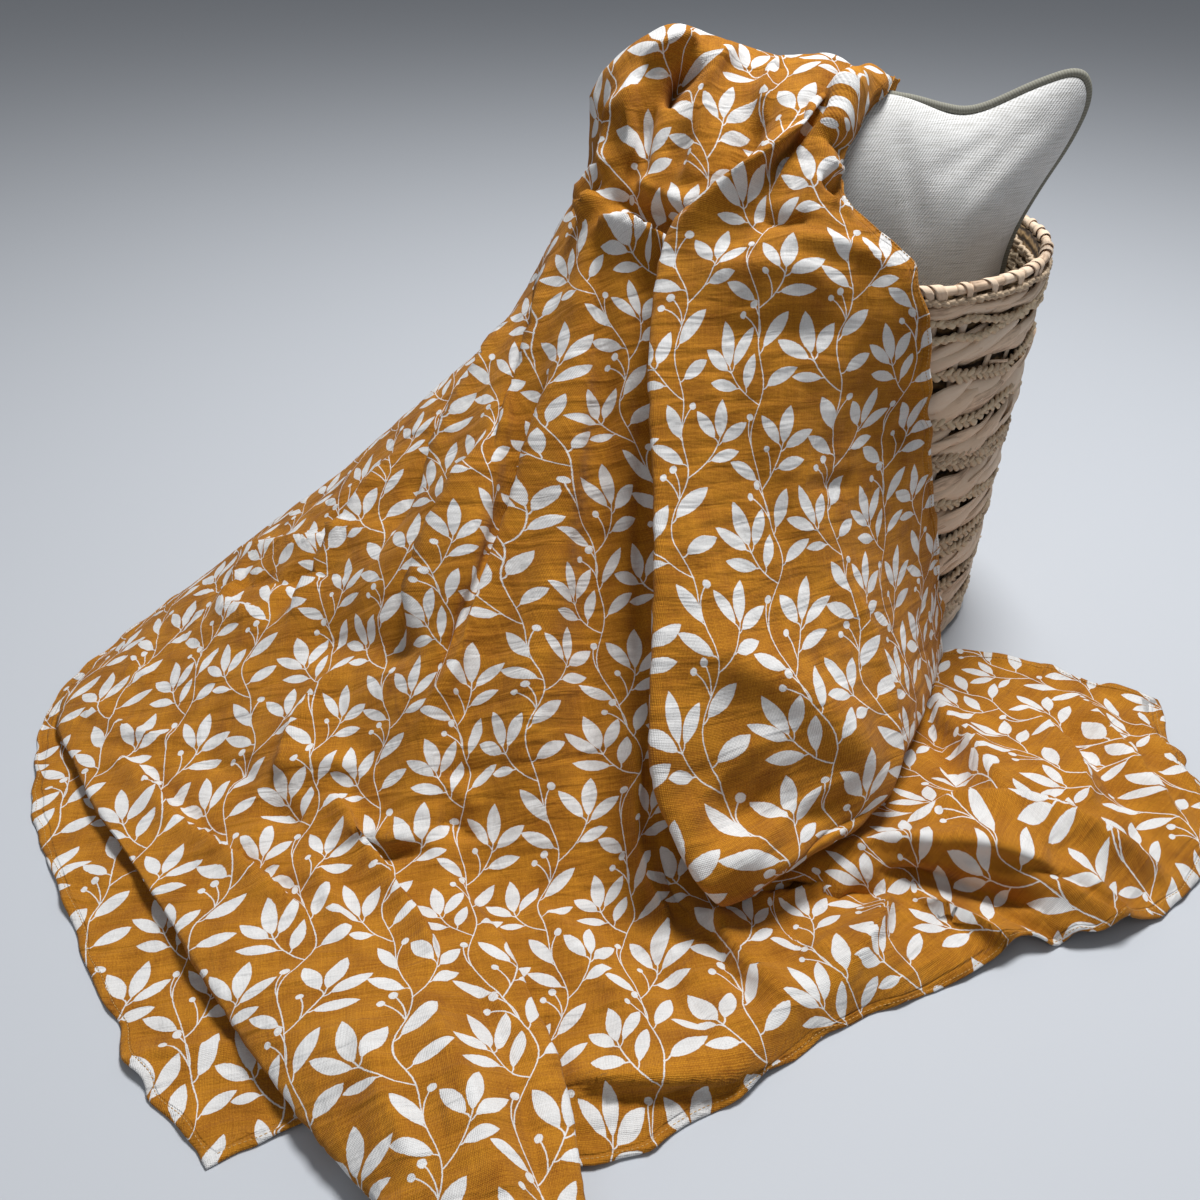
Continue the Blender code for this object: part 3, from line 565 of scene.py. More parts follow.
def flat_layout():
    """Where each place of the cloth lies on the flat square, as a table of its own in metres.

    The cloth is unwrapped with the least stretch, turned so that the weft runs across, and scaled to
    its real size.
    """
    across, along = LAYOUT_STEPS * LAST_LINE + 1, LAYOUT_STEPS * LAST_STATION + 1
    line, station = np.meshgrid(np.linspace(0, LAST_LINE, across),
                                np.linspace(0, LAST_STATION, along), indexing="ij")
    points = cloth_middle(line, station).reshape(-1, 3)
    faces = [(r * along + c, (r + 1) * along + c, (r + 1) * along + c + 1, r * along + c + 1)
             for r in range(across - 1) for c in range(along - 1)]
    mesh = bpy.data.meshes.new("layout")
    mesh.from_pydata([tuple(p) for p in points], [], faces)
    mesh.uv_layers.new(name="layout")
    helper = bpy.data.objects.new("layout", mesh)
    bpy.context.scene.collection.objects.link(helper)
    bpy.context.view_layer.objects.active = helper
    helper.select_set(True)
    bpy.ops.object.mode_set(mode="EDIT")
    bpy.ops.mesh.select_all(action="SELECT")
    bpy.ops.uv.unwrap(method="MINIMUM_STRETCH", margin=0.0, iterations=60)
    bpy.ops.object.mode_set(mode="OBJECT")
    flat = np.zeros((len(points), 2))
    for loop, uv in zip(mesh.loops, mesh.uv_layers["layout"].uv):
        flat[loop.vertex_index] = uv.vector
    bpy.data.objects.remove(helper, do_unlink=True)
    flat = flat.reshape(across, along, 2)
    points = points.reshape(across, along, 3)
    # The panel sets the direction and the scale, because the print shows best there.
    panel = tuple(slice(LAYOUT_STEPS * first, LAYOUT_STEPS * last + 1)
                  for first, last in (PANEL_LINES, PANEL_STATIONS))
    there, real = flat[panel], points[panel]
    up = (there[:, 1:] - there[:, :-1]).reshape(-1, 2)
    scale = np.linalg.norm(real[:, 1:] - real[:, :-1], axis=2).sum() / np.linalg.norm(up, axis=1).sum()
    direction = up.sum(axis=0) / np.linalg.norm(up.sum(axis=0))
    right = np.array([direction[1], -direction[0]])
    if (there[1:] - there[:-1]).reshape(-1, 2).sum(axis=0) @ right < 0:
        right = -right
    middle = there.reshape(-1, 2).mean(axis=0)
    return np.stack([(flat - middle) @ right, (flat - middle) @ direction], axis=-1) * scale


def surface_normals(points):
    """Unit normals of a grid of points, on the outer side of the cloth."""
    across = np.gradient(points, axis=0)
    along = np.gradient(points, axis=1)
    return unit(np.cross(across, along))


def beside(path, points):
    """Where points lie beside a path: how far from it, how far to its left, which way its left is
    there, and at which share of its length."""
    nearest = np.full(len(points), 1e9)
    side = np.zeros(len(points))
    left = np.zeros((len(points), 2))
    along = np.zeros(len(points))
    start = lengths_along(path)
    for k, (a, b) in enumerate(zip(path[:-1], path[1:])):
        length = np.linalg.norm(b - a)
        run = (b - a) / length
        step = np.clip((points - a) @ run, 0, length)
        off = points - a - step[:, None] * run
        distance = np.linalg.norm(off, axis=1)
        closer = distance < nearest
        nearest[closer] = distance[closer]
        side[closer] = (run[0] * off[:, 1] - run[1] * off[:, 0])[closer]
        left[closer] = -run[1], run[0]
        along[closer] = (start[k] + step[closer]) / start[-1]
    return nearest, side, left, along


def crease_moves(flat, layout):
    """How far the creases raise each point of the cloth and shift it over the flat cloth, in metres."""
    rise = np.zeros(flat.shape[:2])
    shift = np.zeros(flat.shape)
    for crease in CREASES:
        places = np.array(crease.path, float) * LAYOUT_STEPS
        knots = on_table(layout, places[:, 0], places[:, 1])
        gaps = len(knots) - 1
        near, weights = spline_weights(np.linspace(0, gaps, PATH_STEPS * gaps + 1), len(knots))
        path = (knots[near] * weights[..., None]).sum(axis=0)
        width = crease.width * MM
        low, high = path.min(axis=0) - CREASE_REACH * width, path.max(axis=0) + CREASE_REACH * width
        inside = ((flat > low) & (flat < high)).all(axis=2)
        if not inside.any():
            continue
        nearest, side, left, along = beside(path, flat[inside])
        # Smooth from one side of the path to the other, so that no kink shows on it.
        turn = np.tanh(side / (CREASE_TURN * width))
        narrower = CREASE_NARROWING * crease.steep
        reach = width * (1 - narrower * (1 + turn) if crease.steep > 0 else 1 + narrower * (1 - turn))
        fade = np.clip(np.minimum(along, 1 - along) / CREASE_FADE, 0, 1)
        fade = fade * fade * (3 - 2 * fade)
        slope = np.exp(1 - np.sqrt(1 + (CREASE_FALL * nearest / reach)**2))
        rise[inside] += crease.height * MM * slope * fade
        lean = CREASE_LEAN * crease.steep * abs(crease.height) * MM
        shift[inside] += left * (lean * slope * fade)[:, None]
    return rise, shift


def flat_directions(points, flat):
    """The way that the flat cloth's x and y run at each of its points, as unit vectors."""
    down, over = np.gradient(points, axis=0), np.gradient(points, axis=1)
    flat_down, flat_over = np.gradient(flat, axis=0), np.gradient(flat, axis=1)
    turned = np.sign(flat_down[..., 0] * flat_over[..., 1] - flat_down[..., 1] * flat_over[..., 0])
    right = (down * flat_over[..., 1:] - over * flat_down[..., 1:]) * turned[..., None]
    up = (over * flat_down[..., :1] - down * flat_over[..., :1]) * turned[..., None]
    return unit(right), unit(up)


def wave(x, y, size, seed):
    """Smooth noise over the flat cloth, with waves of a size across and along."""
    return noise.noise(Vector((x / size[0], y / size[1], seed)))


def wrinkle_heights(flat, hem_distance):
    """How far soft wrinkles raise each point of the cloth, in metres.

    They run mostly with the weft, as in washed muslin, and the hem is puckered by its stitches.
    """
    heights = np.zeros(flat.shape[:2])
    apart, height, reach = PUCKER
    for (r, c), edge in np.ndenumerate(hem_distance):
        x, y = flat[r, c]
        swell = wave(x, y, SWELL, 3.0)
        fold = noise.noise(Vector((x / FOLD[0] + 0.8 * swell, y / FOLD[1], 7.0)))
        ripple = noise.noise(Vector((x / RIPPLE[0], y / RIPPLE[1] + fold, 11.0)))
        rise = SWELL[2] * swell + FOLD[2] * (0.5 - abs(fold)) * abs(fold) * 4 + RIPPLE[2] * ripple
        hem = math.exp(-(edge / reach)**2)
        pucker = max(0.0, wave(x, y, (apart, apart), 19.0) + 0.1)
        heights[r, c] = rise * (1 - 0.6 * hem) + height * hem * pucker
    return heights


def hem_moves(flat, hem_distance):
    """How far the hem's stitches draw the border in and out, over the flat cloth, in metres."""
    moves = np.zeros(flat.shape)
    apart, far, reach = PULL_IN
    for r, c in np.argwhere(hem_distance < PULL_IN_END):
        x, y = flat[r, c]
        pull = [wave(x, y, (apart, apart), seed) for seed in (23.0, 29.0)]
        moves[r, c] = far * math.exp(-(hem_distance[r, c] / reach)**2) * np.array(pull)
    return moves


def blanket_mesh(settings):
    """The cloth as a closed thin sheet: its vertices and faces, for each vertex its place on the flat
    cloth and its distance from the hem and along it, and the rows that the hem's stitches lie on."""
    line, station, hem = cloth_places(settings)
    layout = flat_layout()
    points = cloth_middle(line, station)
    flat = on_table(layout, line * LAYOUT_STEPS, station * LAYOUT_STEPS)
    normals = surface_normals(points)
    down, over = lengths_along(points, 0), lengths_along(points, 1)
    down_edge = np.minimum(down, down[-1:] - down)
    over_edge = np.minimum(over, over[:, -1:] - over)
    hem_distance = np.minimum(down_edge, over_edge)
    rise, shift = crease_moves(flat, layout)
    rise = rise + wrinkle_heights(flat, hem_distance)
    shift = shift + hem_moves(flat, hem_distance)
    right, up = flat_directions(points, flat)
    points = points + normals * rise[..., None] + right * shift[..., :1] + up * shift[..., 1:]
    normals = surface_normals(points)
    thick = settings.thickness + (settings.hem_thickness - settings.thickness) * hem
    points[..., 2] = np.maximum(points[..., 2], thick / 2)
    upper = points + normals * thick[..., None] / 2
    lower = points - normals * thick[..., None] / 2
    lower[..., 2] = np.maximum(lower[..., 2], 0.0)
    vertices = np.concatenate([upper.reshape(-1, 3), lower.reshape(-1, 3)])
    faces, _ = closed_sheet(*line.shape)
    by_hem = np.stack([hem_distance, np.where(down_edge < over_edge, over, down)], axis=-1)
    maps = [np.tile(places.reshape(-1, 2), (2, 1)) for places in (flat, by_hem)]
    seams = (np.s_[SEAM_ROW], np.s_[:, -1 - SEAM_ROW], np.s_[-1 - SEAM_ROW], np.s_[:, SEAM_ROW])
    return vertices, faces, *maps, [(upper[seam], normals[seam]) for seam in seams]


def hem_stitches(rows, settings):
    """The stitches of the hem, as strands that lie on the rows of points given with their normals."""
    strands = []
    share = np.linspace(0, 1, 4)
    swell = np.array([0.45, 1.0, 1.0, 0.45])
    for row in rows:
        along = lengths_along(row[0])
        start = settings.hem_width
        while start < along[-1] - settings.hem_width - settings.stitch:
            at = start + settings.stitch * STITCH_SHOWN * share
            centres, out = [np.stack([np.interp(at, along, values[:, k]) for k in range(3)], axis=1)
                            for values in row]
            centres = centres + out * STITCH_RISE
            strands.append(swept(centres, out, STITCH_HALF_WIDTH * swell, STITCH_HALF_THICKNESS * swell,
                                 sides=5))
            start += settings.stitch
    return strands


def thread_material(settings):
    """Cotton sewing thread, twisted: ochre, a shade paler than the cloth, with a faint gloss."""
    material, tree, shader = new_material("cotton_sewing_thread")
    place = add(tree, "UVMap", uv_map="strand")
    slant = add(tree, "VectorMath", (place, (900.0, 3.0, 1.0)), operation="MULTIPLY")
    twist = add(tree, "TexWave", {"Vector": slant, "Scale": 0.4}, "Fac",
                wave_type="BANDS", bands_direction="DIAGONAL")
    colour = add(tree, "Mix", {"Factor": twist, "A": linear("#9A6A2A"), "B": settings.thread}, "Result",
                 data_type="RGBA")
    feed(tree, shader, {"Base Color": colour, "Roughness": 0.6})
    return material


class SWADDLE_OT_blanket(bpy.types.Operator):
    """Build the blanket, with its hem and its print"""
    bl_idname = "swaddle.blanket"
    bl_label = "Blanket"

    def execute(self, context):
        settings = context.scene.swaddle_blanket
        material = muslin(settings)
        vertices, faces, flat, by_hem, rows = blanket_mesh(settings)
        cloth = new_piece("swaddle_cloth", vertices, faces, material)
        lay_map(cloth, "cloth_flat", flat)
        lay_map(cloth, "cloth_hem", by_hem)
        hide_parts("blanket")
        stitches = strand_piece("hem_stitches", hem_stitches(rows, settings), thread_material(settings),
                                random.Random(5))
        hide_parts("blanket")
        return {"FINISHED"}


# ---- The print: two stems with leafy sprays that repeat side by side, as charted ----
# Sizes in mm, leans in degrees from upright, to the right above 0.  A stem stands at its place
# across and swings to both sides; its wobble is a second swing, twice as fast.  What grows is given
# by the stem or twig that it grows on and where on it: the height on a stem, the share of the
# length of a twig.
PRINT_WIDTH = 154.0
PRINT_HEIGHT = 156.0
STALK_HALF_WIDTH = 0.5
STALK_BEND = 0.10
LEAF_BELLY = 0.54
Stem = namedtuple("Stem", "name across swing wobble")
Twig = namedtuple("Twig", "name home at lean reach bend")
Leaf = namedtuple("Leaf", "home at lean stalk length width")
Berry = namedtuple("Berry", "home at lean reach radius")

STEMS = (
    Stem("left", 0.0, 8.0, 3.0),
    Stem("right", 77.0, -6.0, 3.5),
)

TWIGS = (
    Twig("a", "left", 6, -37, 46, -3.8),
    Twig("b", "left", 86, 35, 45, 3.8),
    Twig("c", "right", 16, -40, 45, -4.5),
    Twig("d", "right", 98, 38, 46, 4.2),
)

LEAVES = (
    Leaf("a", 1.0, -14, 0, 37, 13),
    Leaf("a", 0.88, 27, 6, 33, 12),
    Leaf("a", 0.84, -52, 6, 31, 11.5),
    Leaf("a", 0.50, -76, 4, 30, 11),
    Leaf("a", 0.36, 16, 5, 30, 11),
    Leaf("b", 1.0, 14, 0, 38, 13.5),
    Leaf("b", 0.88, -29, 6, 33, 12),
    Leaf("b", 0.84, 60, 6, 33, 12),
    Leaf("b", 0.46, 79, 4, 31, 11),
    Leaf("left", 20, 58, 5, 30, 12),
    Leaf("left", 50, 31, 6, 35, 12.5),
    Leaf("left", 91, -57, 5, 31, 11.5),
    Leaf("c", 1.0, -12, 0, 37, 13),
    Leaf("c", 0.88, 29, 6, 31, 11.5),
    Leaf("c", 0.84, -60, 5, 30, 11.5),
    Leaf("c", 0.46, -88, 3, 22, 9),
    Leaf("d", 1.0, 10, 0, 37, 13),
    Leaf("d", 0.88, -31, 6, 32, 11.5),
    Leaf("d", 0.84, 58, 5, 32, 12),
    Leaf("d", 0.46, 76, 3, 28, 11),
    Leaf("right", 33, 60, 5, 30, 12),
    Leaf("right", 62, 48, 6, 36, 13),
    Leaf("right", 108, -58, 5, 34, 12),
    Leaf("right", 130, -27, 6, 36, 13),
)

BERRIES = (
    Berry("left", 62, -16, 29, 3.5),
    Berry("left", 62, -42, 26, 2.9),
    Berry("left", 124, 3, 27, 3.4),
    Berry("b", 0.3, -6, 24, 2.9),
    Berry("right", 80, -14, 27, 3.5),
    Berry("right", 80, -38, 25, 2.9),
    Berry("right", 140, 20, 28, 3.5),
)


def upward(lean):
    """The direction, on the chart, of a lean in degrees."""
    return Vector((math.sin(math.radians(lean)), math.cos(math.radians(lean)), 0.0))


def on_chart(home, at):
    """The place on the chart, in mm, of a height on a stem or a share of a twig."""
    for stem in STEMS:
        if stem.name == home:
            turn = TURN * at / PRINT_HEIGHT
            return Vector((stem.across + stem.swing * math.sin(turn) + stem.wobble * math.sin(2 * turn),
                           at, 0.0))
    twig = next(item for item in TWIGS if item.name == home)
    run = upward(twig.lean)
    side = Vector((run.y, -run.x, 0.0))
    return on_chart(twig.home, twig.at) + run * twig.reach * at + side * twig.bend * 4 * at * (1 - at)


def printed_shapes(tree, place):
    """How far a place of the cloth lies outside the printed shapes, in mm, and below 0 inside them."""
    half = Vector((PRINT_WIDTH / 2, PRINT_HEIGHT / 2, 0.0))
    # The same cloth, repeated round four places of the tile, so that each shape lies whole in one.
    cells = {}
    for i in (0, 1):
        for k in (0, 1):
            centre = Vector((i * half.x, k * half.y, 0.0))
            cells[i, k] = add(tree, "VectorMath", (place, centre + half, centre - half), operation="WRAP")

    def cell_round(middle):
        """The cell that a shape lies whole in, and how far the chart is moved into it."""
        i, k = round(middle.x / half.x), round(middle.y / half.y)
        return cells[i % 2, k % 2], Vector(((i % 2 - i) * half.x, (k % 2 - k) * half.y, 0.0))

    def disc(cell, centre, radius):
        """How far a place lies outside a disc."""
        reach = add(tree, "VectorMath", (cell, centre), "Value", operation="DISTANCE")
        return add(tree, "Math", (reach, radius), operation="SUBTRACT")

    def both(first, second, operation):
        """The larger or the smaller of two distances, or the first where there is no second yet."""
        return first if second is None else add(tree, "Math", (first, second), operation=operation)

    def arc(start, end, bend):
        """How far a place lies from an arc: a ring, as far as a disc round the arc's middle reaches."""
        chord = (end - start).length
        side = Vector((end.y - start.y, start.x - end.x, 0.0)) / chord
        radius = (chord**2 / 4 + bend**2) / (2 * abs(bend))
        top = (start + end) / 2 + side * bend
        cell, moved = cell_round(top)
        ring = disc(cell, top - side * math.copysign(radius, bend) + moved, radius)
        ring = add(tree, "Math", (ring,), operation="ABSOLUTE")
        return both(ring, disc(cell, top + moved, math.hypot(chord / 2, bend)), "MAXIMUM")

    stalks, shapes = None, None
    for index, stem in enumerate(STEMS):
        off = add(tree, "SeparateXYZ", (cells[index, 0],), "X")
        height = off.node.outputs["Y"]
        for times, swing in ((1, stem.swing), (2, stem.wobble)):
            angle = add(tree, "Math", (height, times * TURN / PRINT_HEIGHT), operation="MULTIPLY")
            swung = add(tree, "Math", (angle,), operation="SINE")
            off = weighted(tree, off, ((swung, -swing),))
        off = add(tree, "Math", (off, stem.across), operation="SUBTRACT")
        stalks = both(add(tree, "Math", (off,), operation="ABSOLUTE"), stalks, "MINIMUM")
    for twig in TWIGS:
        grown = arc(on_chart(twig.home, twig.at), on_chart(twig.name, 1.0), twig.bend)
        stalks = both(grown, stalks, "MINIMUM")
    for leaf in LEAVES:
        # A leaf is where two discs overlap, one for each of its edges.
        run = upward(leaf.lean)
        side = Vector((run.y, -run.x, 0.0)) * (1 if leaf.lean > 0 else -1)
        joint = on_chart(leaf.home, leaf.at)
        middle = joint + run * (leaf.stalk + leaf.length / 2)
        cell, moved = cell_round(middle)
        shape = None
        for way, share in ((1, 1 - LEAF_BELLY), (-1, LEAF_BELLY)):
            belly = leaf.width * share
            radius = (leaf.length**2 / 4 + belly**2) / (2 * belly)
            edge = disc(cell, middle - side * way * (radius - belly) + moved, radius)
            shape = both(edge, shape, "MAXIMUM")
        shapes = both(shape, shapes, "MINIMUM")
        if leaf.stalk:
            stalk = arc(joint, joint + run * leaf.stalk, leaf.stalk * STALK_BEND)
            stalks = both(stalk, stalks, "MINIMUM")
    for berry in BERRIES:
        foot = on_chart(berry.home, berry.at)
        middle = foot + upward(berry.lean) * berry.reach
        cell, moved = cell_round(middle)
        shapes = both(disc(cell, middle + moved, berry.radius), shapes, "MINIMUM")
        bend = berry.reach * STALK_BEND * (1 if berry.lean < 0 else -1)
        stalks = both(arc(foot, middle, bend), stalks, "MINIMUM")
    stalks = add(tree, "Math", (stalks, STALK_HALF_WIDTH), operation="SUBTRACT")
    return both(stalks, shapes, "MINIMUM")


def muslin(settings):
    """Printed cotton muslin, loosely woven of slub yarn: matt and soft, with threads that thicken
    here and there into short streaks, and a print that sinks into the cloth and lets it show."""
    material, tree, shader = new_material("printed_slub_muslin")
    uv = add(tree, "UVMap", uv_map="cloth_flat")
    place = add(tree, "VectorMath", {0: uv, "Scale": 1 / MM}, operation="SCALE")
    chart = add(tree, "VectorMath", {0: uv, "Scale": 1 / (MM * settings.print_scale)}, operation="SCALE")
    # The printed edge wanders by a third of a millimetre, from thread to thread, and the whole print
    # is drawn freely: it drifts by a few mm from one spray to the next.
    drawn = chart
    for source, scale, detail, reach in ((place, 0.45, 1.0, (0.9, 0.9, 0.0)),
                                         (chart, 0.0085, 0.0, (34.0, 26.0, 0.0))):
        stray = add(tree, "TexNoise", {"Vector": source, "Scale": scale, "Detail": detail}, "Color")
        stray = add(tree, "VectorMath", (stray, (0.5, 0.5, 0.0)), operation="SUBTRACT")
        drawn = add(tree, "VectorMath", (stray, reach, drawn), operation="MULTIPLY_ADD")
    outside = printed_shapes(tree, drawn)
    printed = add(tree, "MapRange", {"Value": outside, "From Min": 0.25, "From Max": -0.25},
                  interpolation_type="SMOOTHSTEP")

    # Slubs: streaks about 1 mm thick and 40 mm long, along the weft and more faintly along the warp.
    weft, warp = [drawn_noise(tree, place, stretch, Detail=2.0, Roughness=0.6)
                  for stretch in ((0.026, 0.95), (0.95, 0.022))]
    # Thread by thread: muslin has about 20 threads to the centimetre, which is too fine to show, so
    # they are drawn 1.1 mm apart.
    threads = [add(tree, "TexWave", {"Vector": place, "Scale": 0.29, "Distortion": 1.2, "Detail": 1.0,
                                     "Detail Scale": 2.0}, "Fac", wave_type="BANDS", bands_direction=way)
               for way in ("X", "Y")]
    weave = add(tree, "Math", threads, operation="MULTIPLY")
    patches = add(tree, "TexNoise", {"Vector": place, "Scale": 0.03, "Detail": 3.0})
    grain = add(tree, "TexNoise", {"Vector": place, "Scale": 0.75, "Detail": 1.0})

    # Light and dark of the ochre and of the print: washed patches, slubs and threads.
    tone = weighted(tree, 0.34, ((weft, 0.26), (warp, 0.18), (patches, 0.34), (grain, 0.22), (weave, 0.20)))
    level = add(tree, "MapRange", {"Value": tone, "From Min": 0.73, "From Max": 1.13})
    colours = [add(tree, "Mix", {"Factor": level, "A": linear(dark), "B": light}, "Result",
                   data_type="RGBA")
               for dark, light in (("#7E460B", linear("#D69327")), ("#CAC8C6", settings.leaf))]
    colour = add(tree, "Mix", {"Factor": printed, "A": colours[0], "B": colours[1]}, "Result",
                 data_type="RGBA")

    # Crinkles of the washed cloth run mostly with the weft, and stand one or two mm high.
    crinkles = [(drawn_noise(tree, place, stretch, Detail=2.0, Roughness=0.45, Distortion=0.7), share)
                for stretch, share in (((0.014, 0.060), 1.0), ((0.045, 0.022), 0.55))]
    bump = add(tree, "Bump", {"Height": weighted(tree, 0.0, crinkles), "Strength": 0.7,
                              "Distance": 0.0085})
    # The hem's stitches sink into the cloth, and draw it into short puckers on both sides of them.
    by_hem = add(tree, "UVMap", uv_map="cloth_hem")
    by_hem = add(tree, "VectorMath", {0: by_hem, "Scale": 1 / MM}, operation="SCALE")
    inward = add(tree, "SeparateXYZ", (by_hem,), "X")
    seam = settings.hem_width * HEM_ROWS[SEAM_ROW][0] / MM
    inward = add(tree, "Math", (inward, seam), operation="SUBTRACT")
    inward = add(tree, "Math", (inward,), operation="ABSOLUTE")
    pucker = drawn_noise(tree, by_hem, (0.05, 0.16), Detail=1.0)
    near = add(tree, "MapRange", {"Value": inward, "From Min": 13.0, "From Max": 1.0},
               interpolation_type="SMOOTHSTEP")
    pucker = add(tree, "Math", (pucker, near), operation="MULTIPLY")
    sunk = add(tree, "MapRange", {"Value": inward, "From Min": 1.6, "From Max": 0.0, "To Max": -0.55},
               interpolation_type="SMOOTHSTEP")
    bump = add(tree, "Bump", {"Height": weighted(tree, sunk, ((pucker, 1.5),)), "Strength": 0.8,
                              "Distance": 0.0022, "Normal": bump})
    bump = add(tree, "Bump", {"Height": weighted(tree, weave, ((weft, 0.5),)), "Strength": 0.55,
                              "Distance": 0.0008, "Normal": bump})
    feed(tree, shader, {"Base Color": colour, "Normal": bump, "Roughness": 0.92,
                        "Specular IOR Level": 0.18, "Sheen Weight": 0.05, "Sheen Roughness": 0.5})
    return material


# ---- Basket ----
# The wall's outer radius at some heights, in metres.
WALL_LEVELS = ((0.0, 0.165), (0.100, 0.169), (0.402, 0.183), (0.420, 0.184))
# The backing, in metres: how far it lies inside the wall on both its sides, how thick its floor is
# and how high it stands.
BACKING_INSETS = (0.0085, 0.0060)
BACKING_FLOOR = 0.0085
BACKING_TOP = 0.411
# The lowest and the highest place of a husk's middle line, in metres.
HUSK_HEIGHTS = (0.004, 0.402)
# How many mm the courses wander up and down: in their own waves round the basket, and in twice and
# five times as many.
WANDER = (3.8, 2.4, 1.0)
# The rim, in metres: the height of its rod's middle, how far that lies inside the wall, and how far
# from it a tie passes; and how many bands are wound round it.
RIM_HEIGHT = 0.4142
RIM_INSET = 0.0022
TIE_REACH = 0.0057
RIM_BANDS = 64
# How many ends of husk stick out, and the heights that they do so at, in metres.
LOOSE_ENDS = 26
LOOSE_HEIGHTS = (0.012, 0.035, 0.083, 0.134, 0.186, 0.235, 0.285, 0.333)

# The courses of the weave from the foot to the rim: plaited seagrass ropes and flat twists of corn
# husk.  Height of the course's middle and its width in mm, the number of husks round it, how many
# mm a husk rises along its way, and how many waves the course makes round the basket.
Course = namedtuple("Course", "kind height width husks rise waves")

COURSES = (
    Course("husk", 12, 22, 22, 10, 3),
    Course("rope", 30, 15, 0, 0, 4),
    Course("rope", 40, 15, 0, 0, 4),
    Course("husk", 61, 27, 21, 20, 3),
    Course("rope", 82, 15, 0, 0, 5),
    Course("husk", 105, 28, 22, 24, 4),
    Course("rope", 128, 15, 0, 0, 4),
    Course("rope", 138, 15, 0, 0, 4),
    Course("husk", 161, 30, 21, 26, 3),
    Course("rope", 184, 15, 0, 0, 5),
    Course("husk", 207, 28, 22, 24, 4),
    Course("rope", 229, 15, 0, 0, 4),
    Course("rope", 239, 15, 0, 0, 4),
    Course("husk", 261, 28, 21, 26, 3),
    Course("rope", 283, 15, 0, 0, 5),
    Course("husk", 307, 32, 22, 28, 4),
    Course("rope", 331, 15, 0, 0, 4),
    Course("husk", 352, 24, 21, 22, 3),
    Course("rope", 372, 9, 0, 0, 5),
    Course("rope", 382, 9, 0, 0, 5),
    Course("husk", 394, 15, 24, 10, 4),
    Course("rope", 405, 8, 0, 0, 3),
)


class BasketSettings(bpy.types.PropertyGroup):
    """Sizes and colours of the basket."""
    stakes: bpy.props.IntProperty(name="Stakes", description="Upright stakes round the basket",
                                  default=30, min=6, max=120)
    strand: length_setting("Strand", "Half the width of a seagrass strand", 0.0029)
    husk: colour_setting("Husk", "Colour of the corn husk", "#DFC4A8")
    seagrass: colour_setting("Seagrass", "Colour of the seagrass", "#C9B296")


def wall_radius(height):
    """Outer radius of the basket's wall at heights in metres."""
    levels = np.array(WALL_LEVELS)
    return np.interp(height, levels[:, 0], levels[:, 1])


def on_wall(angle, height, inset=0.0):
    """Points of the wall at angles and heights, and the way out of it there."""
    radius = wall_radius(height) - inset
    out = outward(angle)
    points = out * np.reshape(radius, (-1, 1))
    points[:, 2] = height
    return points, out


def swept(centres, out, half_width, half_thickness, sides=6, closed=False, ripple=0.0, turn=0.0):
    """A strand swept along centres: rings of points, its faces and where each corner lies on it.

    The strand is flat towards out, half_width and half_thickness may change along it, ripple
    wrinkles its skin lengthwise and turn twists it, in radians.
    """
    count = len(centres)
    if closed:
        tangent = np.roll(centres, -1, axis=0) - np.roll(centres, 1, axis=0)
    else:
        tangent = np.gradient(centres, axis=0)
    tangent = unit(tangent)
    across = unit(np.cross(tangent, out))
    up = np.cross(across, tangent)
    turns = np.linspace(0, 1, count) * turn
    c, s = np.cos(turns)[:, None], np.sin(turns)[:, None]
    across, up = across * c + up * s, up * c - across * s
    around = np.arange(sides) * TURN / sides
    shape = 1 + ripple * np.cos(3 * around + 1.0)
    width = np.broadcast_to(half_width, (count,))[:, None, None]
    thickness = np.broadcast_to(half_thickness, (count,))[:, None, None]
    rings = (centres[:, None] + across[:, None] * (np.cos(around) * shape)[None, :, None] * width
             + up[:, None] * (np.sin(around) * shape)[None, :, None] * thickness)
    last = count if closed else count - 1
    faces = []
    for i in range(last):
        a, b = i * sides, (i + 1) % count * sides
        faces += [(a + k, a + (k + 1) % sides, b + (k + 1) % sides, b + k) for k in range(sides)]
    if not closed:
        faces.append(tuple(reversed(range(sides))))
        faces.append(tuple(range((count - 1) * sides, count * sides)))
    along = lengths_along(centres)
    places = np.stack(np.broadcast_arrays(along[:, None], np.arange(sides)[None, :] / sides), axis=-1)
    return rings.reshape(-1, 3), faces, places.reshape(-1, 2)


def strand_piece(name, strands, material, chance):
    """One mesh of many strands, with a map of the place along and around each."""
    vertices, faces, places = [], [], []
    total = 0
    for points, polygons, where in strands:
        vertices.append(points)
        faces += [tuple(total + i for i in polygon) for polygon in polygons]
        places.append(where + np.array([chance.uniform(0, 40), chance.uniform(0, 9)]))
        total += len(points)
    vertices = np.concatenate(vertices)
    vertices[:, 2] = np.maximum(vertices[:, 2], 0.0)
    piece = new_piece(name, vertices, faces, material)
    lay_map(piece, "strand", np.concatenate(places))
    return piece


def wave_of(course, angle, phase):
    """How far a course wanders up and down round the basket, in metres."""
    turn = course.waves * angle + phase
    return MM * (WANDER[0] * np.sin(turn) + WANDER[1] * np.sin(2 * turn + phase)
                 + WANDER[2] * np.sin(5 * turn))


